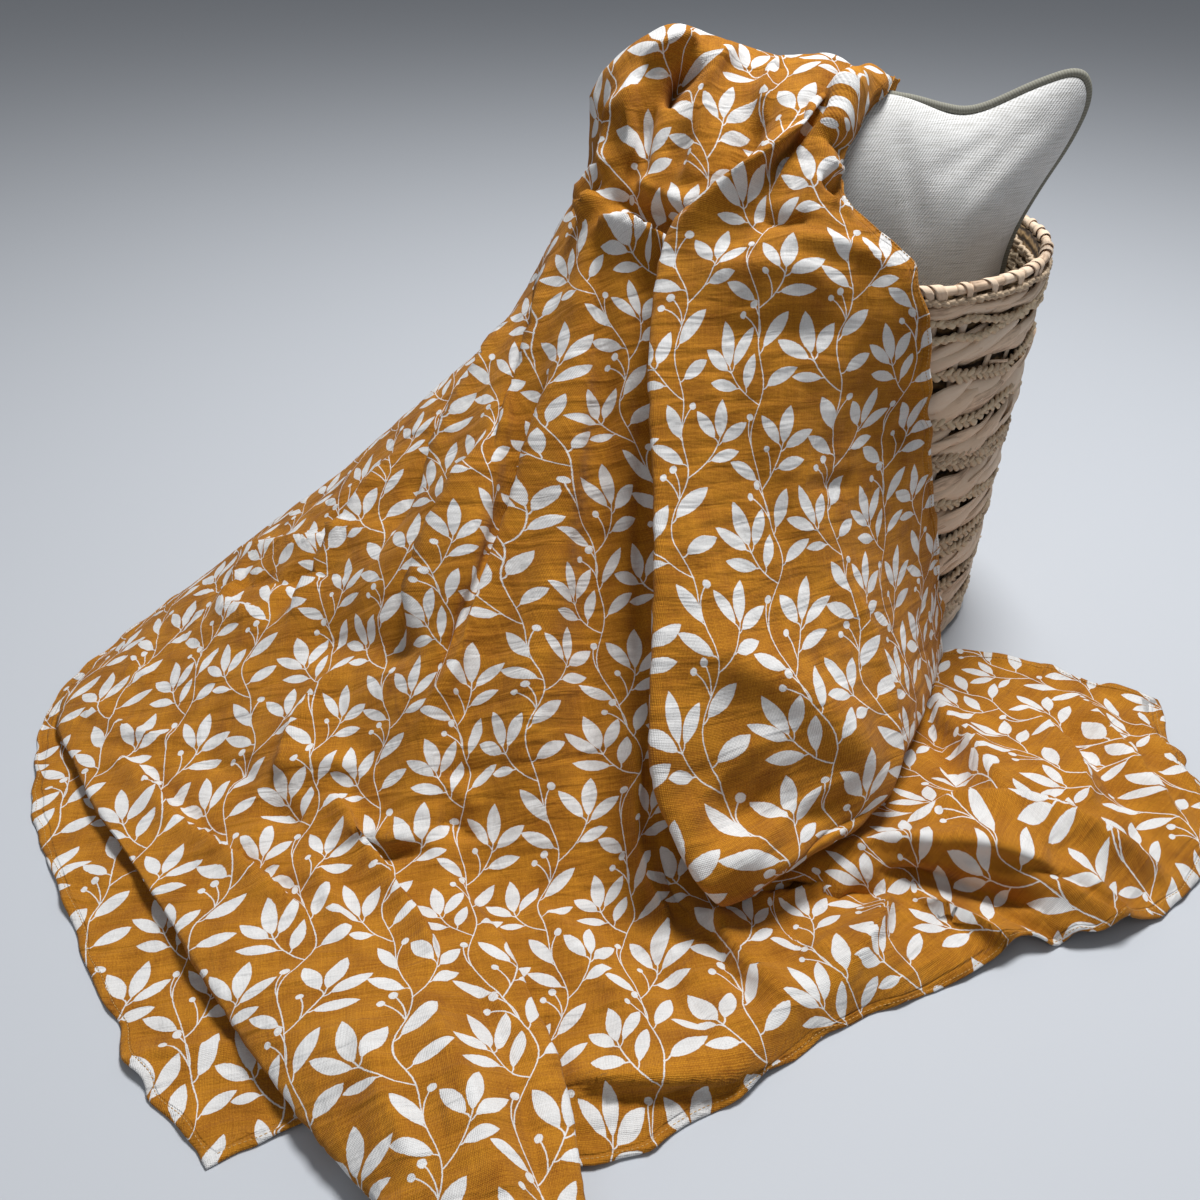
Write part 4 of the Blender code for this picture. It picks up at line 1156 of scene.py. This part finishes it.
def plaited_rope(course, settings, chance, inset=-0.0024, step=0.0030, plies=3):
    """The strands of one plait that goes round the basket.

    It runs inset metres inside the wall, with points a step apart, and has a number of plies.
    """
    radius = float(wall_radius(course.height * MM)) - inset
    count = round(TURN * radius / step)
    angle = np.arange(count) * TURN / count
    phase = chance.uniform(0, 6.28)
    middle, out = on_wall(angle, course.height * MM + wave_of(course, angle, phase), inset)
    # A ply comes back to the same side after 25 to 29 mm.
    pitches = round(TURN * radius / chance.uniform(0.025, 0.029))
    sway = course.width * MM / 2 - settings.strand
    strands = []
    for ply in range(plies):
        turn = pitches * angle + TURN * ply / plies
        # Plaited by hand: each ply wanders and swells in its own way.
        rough = 1 + 0.14 * np.sin(9 * angle + ply * 2.1 + phase) + 0.10 * np.sin(23 * angle + ply + phase)
        shape = rough * (1 + 0.13 * np.sin(31 * angle + 2 * ply) + 0.07 * np.sin(77 * angle + ply))
        centres = middle + out * (0.0022 * np.sin(2 * turn) * rough)[:, None]
        centres[:, 2] += sway * np.sin(turn) * rough
        strands.append(swept(centres, out, settings.strand * 0.92 * shape, settings.strand * 0.62 * shape,
                             closed=True, ripple=0.10))
    return strands


def husk_course(course, chance):
    """The overlapping husks of one course, each laid slanting and tucked in at both ends."""
    strands = []
    share = np.linspace(0, 1, 15)
    phase = chance.uniform(0, 6.28)
    for i in range(course.husks):
        start = TURN * (i + chance.uniform(-0.16, 0.16)) / course.husks
        # About twice its share of the way round, so that it overlaps the next.
        span = TURN / course.husks * chance.uniform(1.75, 2.15)
        for strip in range(2):
            angle = start + span * share + strip * 0.4 * span
            rise = course.rise * MM * chance.uniform(0.75, 1.2)
            lift = (strip - 0.5) * course.width * MM * 0.34 + chance.uniform(-0.0015, 0.0015)
            height = course.height * MM + wave_of(course, angle, phase) + rise * (share - 0.5) + lift
            bulge = 0.0078 * np.sin(math.pi * share)**0.8 - 0.0055 + chance.uniform(-0.0008, 0.0014)
            centres, out = on_wall(angle, np.clip(height, *HUSK_HEIGHTS))
            centres = centres + out * bulge[:, None]
            width = course.width * MM * chance.uniform(0.26, 0.36)
            width = width * (0.42 + 0.58 * np.sin(math.pi * share)**0.6)
            pleat = 1 + 0.22 * np.sin(share * chance.uniform(7, 13) + chance.uniform(0, 6))
            strands.append(swept(centres, out, width * pleat, 0.0017 * (2 - pleat), sides=9,
                                 ripple=0.24, turn=chance.uniform(-0.9, 0.9)))
    return strands


def stake(angle, chance):
    """An upright stake of folded husk behind the weave."""
    height = np.linspace(0.004, 0.410, 26)
    lean = angle + 0.02 * np.sin(height * 40 + chance.uniform(0, 6))
    centres, out = on_wall(lean, height, 0.0035)
    centres = centres + out * (0.0012 * np.sin(height * 150))[:, None]
    return swept(centres, out, 0.0048, 0.0016)


def rim_strands(settings, chance):
    """The rim: a rod wound with bands of husk, and narrow ties that hold it to the weave."""
    strands = []
    radius = float(wall_radius(0.414)) - RIM_INSET
    share = np.linspace(0, 1, 7)
    for i in range(RIM_BANDS):
        start = TURN * (i + chance.uniform(-0.2, 0.2)) / RIM_BANDS
        angle = start + TURN / RIM_BANDS * chance.uniform(1.15, 1.5) * share
        reach = radius + chance.uniform(-0.0005, 0.0005)
        out = outward(angle)
        centres = out * reach
        centres[:, 2] = RIM_HEIGHT + 0.0006 * np.sin(5 * angle) + chance.uniform(-0.0004, 0.0004)
        # Each band tapers, so that the next one overlaps it with a step.
        thick = chance.uniform(0.0049, 0.0056) * (1 - 0.22 * share)
        strands.append(swept(centres, out, thick, thick * 0.94, sides=10, ripple=0.05))
    ties = round(1.4 * settings.stakes)
    # Over the rod from the inside to the outside, and down on the weave.
    turn = np.linspace(-0.5, math.pi + 0.5, 12)
    for i in range(ties):
        place = TURN * (i + chance.uniform(-0.3, 0.3)) / ties
        drop = chance.uniform(0.008, 0.016)
        reach = np.append(radius - TIE_REACH * np.cos(turn), radius + 0.0038)
        height = np.append(RIM_HEIGHT + TIE_REACH * np.sin(turn), RIM_HEIGHT - drop)
        lean = place + np.linspace(-0.02, chance.uniform(0.02, 0.07), len(reach))
        centres = outward(lean) * reach[:, None]
        centres[:, 2] = height
        sideways = np.stack([-np.sin(lean), np.cos(lean), np.zeros_like(lean)], axis=1)
        out = unit(np.cross(np.gradient(centres, axis=0), sideways))
        strands.append(swept(centres, out, chance.uniform(0.0030, 0.0070), 0.0007, sides=8, ripple=0.15))
    return strands


def loose_ends(chance):
    """Ends of husk that stick out of the weave."""
    strands = []
    share = np.linspace(0, 1, 6)
    for _ in range(LOOSE_ENDS):
        angle = chance.uniform(0, TURN)
        height = chance.choice(LOOSE_HEIGHTS)
        length = chance.uniform(0.012, 0.024)
        # Along the wall by its length, at about 0.17 m from the basket's axis.
        lean = angle + share * length / 0.17
        centres, out = on_wall(lean, height + share * chance.uniform(-0.006, 0.010))
        centres = centres + out * (-0.002 + 0.0095 * share**1.5)[:, None]
        strands.append(swept(centres, out, 0.0028 * (1 - 0.5 * share), 0.0008, sides=5))
    return strands


def husk_material(settings):
    """Dried corn husk, split and twisted by hand: pale tan, matt, with long darker fibres and a
    faint gloss."""
    return fibre_material("dried_corn_husk", settings.husk, linear("#7A5A42"), linear("#E6D2BC"))


def seagrass_material(settings):
    """Dried seagrass, plaited: olive to brown, matt, each strand a shade of its own."""
    return fibre_material("plaited_seagrass", settings.seagrass, linear("#4E3B2A"), linear("#D6C3A4"))


def fibre_material(name, colour, dark, light):
    """What husk and seagrass share: fibres along the strand, and shades from one to the next."""
    material, tree, shader = new_material(name)
    place = add(tree, "UVMap", uv_map="strand")
    # Fibres are 0.3 mm apart in a real husk, and drawn about 1 mm apart so that they show.
    fibres = drawn_noise(tree, place, (45.0, 14.0), Detail=4.0, Roughness=0.65)
    own = add(tree, "NewGeometry", out="Random Per Island")
    where = add(tree, "TexCoord", out="Object")
    blotch = add(tree, "TexNoise", {"Vector": where, "Scale": 60.0, "Detail": 2.0})
    level = weighted(tree, -0.10, ((fibres, 0.75), (own, 0.42), (blotch, 0.25)))
    shade = add(tree, "ValToRGB", {"Fac": level})
    stops = shade.node.color_ramp.elements
    stops[0].position = 0.18
    stops[0].color = dark
    stops[1].position = 0.95
    stops[1].color = light
    stops.new(0.50).color = colour
    bump = add(tree, "Bump", {"Height": fibres, "Strength": 0.5, "Distance": 0.0006})
    feed(tree, shader, {"Base Color": shade, "Normal": bump, "Roughness": 0.68,
                        "Specular IOR Level": 0.35})
    return material


def turned(profile, sides, name, material):
    """A closed turned piece from a closed profile of radius and height."""
    vertices = [(r * math.cos(a), r * math.sin(a), z) for a in np.arange(sides) * TURN / sides
                for r, z in profile]
    rings = len(profile)
    faces = []
    for i in range(sides):
        here, there = i * rings, (i + 1) % sides * rings
        for k in range(rings):
            after = (k + 1) % rings
            faces.append((here + k, there + k, there + after, here + after))
    return new_piece(name, vertices, faces, material)


def backing_painted_shade_material():
    """Seagrass behind the weave with painted shade: a rough sheet, dark brown to near black in bands along
    the rows of the weave, for the shade that falls into its gaps.
    """
    material, tree, shader = new_material("seagrass_backing_painted_shade")
    where = add(tree, "TexCoord", out="Object")
    rows = add(tree, "TexWave", {"Vector": where, "Scale": 33.0, "Distortion": 3.0, "Detail": 2.0,
                                 "Detail Scale": 3.0}, "Fac", wave_type="BANDS", bands_direction="Z")
    speck = add(tree, "TexNoise", {"Vector": where, "Scale": 220.0, "Detail": 3.0})
    level = add(tree, "Math", (rows, speck), operation="MULTIPLY")
    # Painted shade: near black to dark brown, darker in bands between the rows, where shade falls behind the
    # weave.
    shade = add(tree, "ValToRGB", {"Fac": level})
    stops = shade.node.color_ramp.elements
    stops[0].color = linear("#2A1C10")
    stops[1].color = linear("#9A7C52")
    stops[1].position = 0.8
    bump = add(tree, "Bump", {"Height": level, "Strength": 0.7, "Distance": 0.002})
    feed(tree, shader, {"Base Color": shade, "Normal": bump, "Roughness": 0.85})
    return material


class SWADDLE_OT_basket(bpy.types.Operator):
    """Weave the basket: backing, stakes, courses of husk and seagrass, and the rim"""
    bl_idname = "swaddle.basket"
    bl_label = "Basket"

    def execute(self, context):
        settings = context.scene.swaddle_basket
        chance = random.Random(7)
        husk, seagrass = husk_material(settings), seagrass_material(settings)
        profile = [(0.0005, BACKING_FLOOR)]
        for inset, low, high in zip(BACKING_INSETS, (BACKING_FLOOR, BACKING_TOP), (BACKING_TOP, 0.0)):
            profile += [(float(wall_radius(z)) - inset, z) for z in np.linspace(low, high, 20)]
        profile.append((0.0005, 0.0))
        backing = turned(profile, 72, "basket_backing", backing_painted_shade_material())
        ropes, husks = [], []
        for course in COURSES:
            if course.kind == "rope":
                ropes += plaited_rope(course, settings, chance)
            else:
                husks += husk_course(course, chance)
        for i in range(settings.stakes):
            husks.append(stake(TURN * (i + 0.5) / settings.stakes, chance))
        inside = []
        for height in range(150, 404, 13):
            inside += plaited_rope(Course("rope", height, 11, 0, 0, 4), settings, chance, inset=0.0105,
                                   step=0.0060, plies=2)
        pieces = [
            strand_piece("basket_ropes", ropes, seagrass, chance),
            strand_piece("basket_husks", husks, husk, chance),
            strand_piece("basket_inner_ropes", inside, seagrass, chance),
            strand_piece("basket_rim", rim_strands(settings, chance), husk, chance),
            strand_piece("basket_loose_ends", loose_ends(chance), husk, chance),
        ]
        for piece in pieces + [backing]:
            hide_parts("basket")
        return {"FINISHED"}


# ---- Cushion ----
class CushionSettings(bpy.types.PropertyGroup):
    """Sizes and colours of the cushion."""
    place: bpy.props.FloatVectorProperty(name="Place", description="Middle of the cushion", size=2,
                                         default=(-0.010, -0.040))
    foot: length_setting("Foot", "Height that it stands at, on the basket's floor", 0.0103)
    top: length_setting("Top", "Height of its top edge", 0.554)
    ear: length_setting("Ear", "How far its right corner rises and its left one is pressed down", 0.020)
    sag: length_setting("Sag", "How far the top edge sags beside the ear", 0.022)
    edge: length_setting("Edge", "Half the thickness of its edge", 0.006)
    crown: length_setting("Crown", "How far each face stands out", 0.062)
    piping: length_setting("Piping", "Radius of the piping", 0.0043)
    cover: colour_setting("Cover", "Colour of the linen", "#EBEBEA")
    cord: colour_setting("Piping colour", "Colour of the piping", "#8C8B80")


# Height of a level and half the cushion's width there, in metres.
CUSHION_LEVELS = ((0.0, 0.100), (0.10, 0.132), (0.42, 0.146), (0.47, 0.166), (0.51, 0.187), (0.56, 0.199))

# Pulls in the cover: from and to, as shares across and up the face (-1 to 1), with
# width and depth in mm.
Pull = namedtuple("Pull", "across up to_across to_up width depth")

PULLS = (
    Pull(0.93, 0.96, 0.42, 0.74, 12, -3.0),
    Pull(0.97, 0.80, 0.66, 0.42, 13, -2.2),
    Pull(0.70, 0.98, 0.25, 0.78, 9, -3.0),
    Pull(0.96, 0.55, 0.62, 0.22, 16, 1.8),
    Pull(0.90, 0.30, 0.40, -0.05, 10, -3.0),
    Pull(0.05, 0.97, 0.35, 0.55, 10, -2.5),
    Pull(0.80, 0.90, 0.52, 0.62, 12, 1.8),
)


# Where the top edge sags between the ear and the middle, how far to both sides, and the share up the
# face that it starts from.
SAG_MIDDLE = 0.45
SAG_REACH = 0.25
SAG_START = -0.2
# The last share of the face that counts as its corner, and how far the top corners are pulled down
# and in, in metres.
CORNER = 0.16
CORNER_DROP = 0.013
CORNER_DRAW = 0.009
# How steeply the faces rise from the edge: the lower, the steeper.
CROWN_POWER = 0.78
# The last share of a pull's length that it fades out over, and half the face's width in mm, which
# sets its width on the face.
PULL_FADE = 0.3
HALF_FACE = 195


def cushion_width(height):
    """Half the cushion's width at heights, smoothed between its levels."""
    levels = np.array(CUSHION_LEVELS)
    near = [np.interp(height + shift, levels[:, 0], levels[:, 1]) for shift in (-0.02, -0.01, 0, 0.01, 0.02)]
    return np.mean(near, axis=0)


def cushion_skin(across, up, side, settings):
    """Points of the cushion's skin, for shares across and up and the side that they are on."""
    top = settings.top + settings.ear * across**3
    height = settings.foot + (top - settings.foot) * (up + 1) / 2
    sag = np.exp(-((across - SAG_MIDDLE) / SAG_REACH)**2)
    height = height - settings.sag * sag * np.clip((up - SAG_START) / (1 - SAG_START), 0, 1)**2
    # The top corners are pulled a little round.
    at_side = np.clip((np.abs(across) - (1 - CORNER)) / CORNER, 0, 1)
    corner = at_side**2 * np.clip((up - (1 - CORNER)) / CORNER, 0, 1)**2
    height = height - CORNER_DROP * corner
    bulge = np.maximum(0.0, (1 - across**4) * (1 - up**4))
    depth = settings.edge + settings.crown * bulge**CROWN_POWER
    width = cushion_width(height)
    for pull in PULLS:
        from_start = across - pull.across, up - pull.up
        run = pull.to_across - pull.across, pull.to_up - pull.up
        length = math.hypot(*run)
        along = (from_start[0] * run[0] + from_start[1] * run[1]) / length**2
        off = (from_start[0] * run[1] - from_start[1] * run[0]) / length
        fade = np.clip(np.minimum(along, 1 - along) / PULL_FADE, 0, 1)
        size = np.exp(-(off * HALF_FACE / pull.width)**2) * fade**2 * (3 - 2 * fade)
        depth = depth + pull.depth * MM * size * np.minimum(1, bulge * 3)
    x = settings.place[0] + across * (width - CORNER_DRAW * corner)
    y = settings.place[1] + side * depth
    return np.stack([x, y, height], axis=-1)


def linen_material(settings):
    """Linen twill, woven of uneven natural yarn: off-white, matt, with slubs along the weft."""
    material, tree, shader = new_material("natural_linen_twill")
    uv = add(tree, "UVMap", uv_map="cover_flat")
    place = add(tree, "VectorMath", {0: uv, "Scale": 1 / MM}, operation="SCALE")
    # The twill's slanting lines are about 1 mm apart, and drawn 2.2 mm apart so that they show.
    slant = add(tree, "VectorRotate", {"Vector": place, "Angle": math.radians(38)},
                rotation_type="Z_AXIS")
    twill = add(tree, "TexWave", {"Vector": slant, "Scale": 0.143, "Distortion": 0.8, "Detail": 1.0,
                                  "Detail Scale": 1.5}, "Fac", wave_type="BANDS", bands_direction="X")
    weft, warp = [drawn_noise(tree, place, stretch, Detail=3.0, Roughness=0.65)
                  for stretch in ((0.035, 1.1), (1.1, 0.05))]
    tone = weighted(tree, 0.0, ((weft, 0.85), (warp, 0.30), (twill, 0.22)))
    level = add(tree, "MapRange", {"Value": tone, "From Min": 0.38, "From Max": 0.86})
    colour = add(tree, "Mix", {"Factor": level, "A": linear("#A3A19B"), "B": settings.cover}, "Result",
                 data_type="RGBA")
    height = add(tree, "Math", (weft, twill), operation="ADD")
    bump = add(tree, "Bump", {"Height": height, "Strength": 0.5, "Distance": 0.0007})
    feed(tree, shader, {"Base Color": colour, "Normal": bump, "Roughness": 0.9,
                        "Specular IOR Level": 0.25, "Sheen Weight": 0.1})
    return material


def cord_material(settings):
    """Piping: linen wound slantwise round a cord, grey-green and matt."""
    material, tree, shader = new_material("bias_cut_piping")
    place = add(tree, "UVMap", uv_map="strand")
    slant = add(tree, "VectorMath", (place, (500.0, 2.0, 1.0)), operation="MULTIPLY")
    ribs = add(tree, "TexWave", {"Vector": slant, "Scale": 0.5, "Distortion": 2.0}, "Fac",
               wave_type="BANDS", bands_direction="DIAGONAL")
    colour = add(tree, "Mix", {"Factor": ribs, "A": linear("#7B796D"), "B": settings.cord}, "Result",
                 data_type="RGBA")
    bump = add(tree, "Bump", {"Height": ribs, "Strength": 0.25, "Distance": 0.0004})
    feed(tree, shader, {"Base Color": colour, "Normal": bump, "Roughness": 0.9})
    return material


class SWADDLE_OT_cushion(bpy.types.Operator):
    """Sew the cushion: a crowned cover with pulls at its corners, and piping along its edge"""
    bl_idname = "swaddle.cushion"
    bl_label = "Cushion"

    def execute(self, context):
        settings = context.scene.swaddle_cushion
        count = 97
        # Closer together towards the edges, where the cover turns.
        share = np.sin(np.linspace(-1, 1, count) * math.pi / 2)
        across, up = np.meshgrid(share, share, indexing="ij")
        front, back = [cushion_skin(across, up, side, settings).reshape(-1, 3) for side in (-1, 1)]
        vertices = np.concatenate([front, back])
        faces, border = closed_sheet(count, count)
        cover = new_piece("cushion_cover", vertices, faces, linen_material(settings))
        lay_map(cover, "cover_flat", np.concatenate([front[:, [0, 2]], back[:, [0, 2]] + 0.7]))
        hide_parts("cushion")
        middle = (front[border] + back[border]) / 2
        out = unit(middle - middle.mean(axis=0))
        # Under the blanket the piping is pressed into the cover's edge.
        free = np.clip((middle[:, :1] - 0.015) / 0.045, 0, 1)
        line = middle + out * settings.piping * (0.75 * free - 0.4 * (1 - free))
        line = line - np.array([0, 0.0015, 0]) * free
        facing = np.tile(np.array([[0.0, -1.0, 0.0]]), (len(line), 1))
        cord = swept(line, facing, settings.piping, settings.piping, sides=10, closed=True)
        piping = strand_piece("cushion_piping", [cord], cord_material(settings), random.Random(3))
        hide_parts("cushion")
        return {"FINISHED"}


# ---- Stage ----
# Each lamp's name, place, the place that it shines at, its size and its power in watts: a soft
# window light from above and behind, and a faint one from the front.
LAMPS = (
    ("window", (0.3, 0.35, 2.9), (-0.2, -0.4, 0.1), 0.9, 106.0),
    ("fill", (-1.0, -2.2, 2.4), (-0.3, -0.4, 0.1), 1.4, 5.0),
)
# Half the floor's side, and how far it lies below the pieces, in metres.
FLOOR_HALF = 6.0
FLOOR_BELOW = 0.0005


class SWADDLE_OT_stage(bpy.types.Operator):
    """Set up the camera, the soft studio light and the plain floor"""
    bl_idname = "swaddle.stage"
    bl_label = "Stage"

    def execute(self, context):
        settings = context.scene.swaddle_stage
        scene = context.scene
        lens = bpy.data.cameras.new("camera")
        lens.sensor_width = 36.0
        lens.lens = 36.0
        lens.clip_start = 0.01
        camera = bpy.data.objects.new("camera", lens)
        camera.location = settings.camera
        camera.rotation_euler = (math.pi / 2 - settings.tilt, 0.0, 0.0)
        scene.collection.objects.link(camera)
        scene.camera = camera
        world = bpy.data.worlds.new("studio")
        world.use_nodes = True
        background = world.node_tree.nodes["Background"]
        feed(world.node_tree, background, {"Color": linear("#EBEEF3"), "Strength": 0.25})
        scene.world = world
        for name, place, aim, size, power in LAMPS:
            lamp = bpy.data.lights.new(name, "AREA")
            lamp.shape = "DISK"
            lamp.size = size
            lamp.energy = power
            light = bpy.data.objects.new(name, lamp)
            light.location = place
            light.rotation_euler = (Vector(aim) - Vector(place)).to_track_quat("-Z", "Y").to_euler()
            scene.collection.objects.link(light)
        material, tree, shader = new_material("painted_floor")
        feed(tree, shader, {"Base Color": settings.floor, "Roughness": 0.7})
        mesh = bpy.data.meshes.new("floor")
        corners = ((-1, -1), (1, -1), (1, 1), (-1, 1))
        mesh.from_pydata([(x * FLOOR_HALF, y * FLOOR_HALF, -FLOOR_BELOW) for x, y in corners], [],
                         [(0, 1, 2, 3)])
        mesh.materials.append(material)
        floor = bpy.data.objects.new("floor", mesh)
        scene.collection.objects.link(floor)
        scene.view_settings.view_transform = "Standard"
        return {"FINISHED"}


class SWADDLE_PT_panel(bpy.types.Panel):
    """Buttons for the pieces"""
    bl_idname = "SWADDLE_PT_panel"
    bl_label = "Swaddle blanket"
    bl_space_type = "VIEW_3D"
    bl_region_type = "UI"
    bl_category = "Swaddle"

    def draw(self, context):
        for operator in OPERATORS:
            self.layout.operator(operator.bl_idname)
        for name in SETTINGS:
            group = getattr(context.scene, name)
            box = self.layout.box()
            for key in group.bl_rna.properties.keys():
                if key not in ("name", "rna_type"):
                    box.prop(group, key)


SETTINGS = {
    "swaddle_blanket": BlanketSettings,
    "swaddle_basket": BasketSettings,
    "swaddle_cushion": CushionSettings,
    "swaddle_stage": StageSettings,
}
OPERATORS = (SWADDLE_OT_stage, SWADDLE_OT_basket, SWADDLE_OT_cushion, SWADDLE_OT_blanket)
CLASSES = (*SETTINGS.values(), *OPERATORS, SWADDLE_PT_panel)


def register():
    """Register the settings, the operators and the panel."""
    for item in CLASSES:
        bpy.utils.register_class(item)
    for name, group in SETTINGS.items():
        setattr(bpy.types.Scene, name, bpy.props.PointerProperty(type=group))


def unregister():
    """Take them all out again."""
    for name in SETTINGS:
        delattr(bpy.types.Scene, name)
    for item in reversed(CLASSES):
        bpy.utils.unregister_class(item)


def main():
    """Build every piece."""
    register()
    bpy.ops.swaddle.stage()
    bpy.ops.swaddle.basket()
    bpy.ops.swaddle.cushion()
    bpy.ops.swaddle.blanket()
    bpy.context.view_layer.update()


if __name__ == "__main__":
    main()
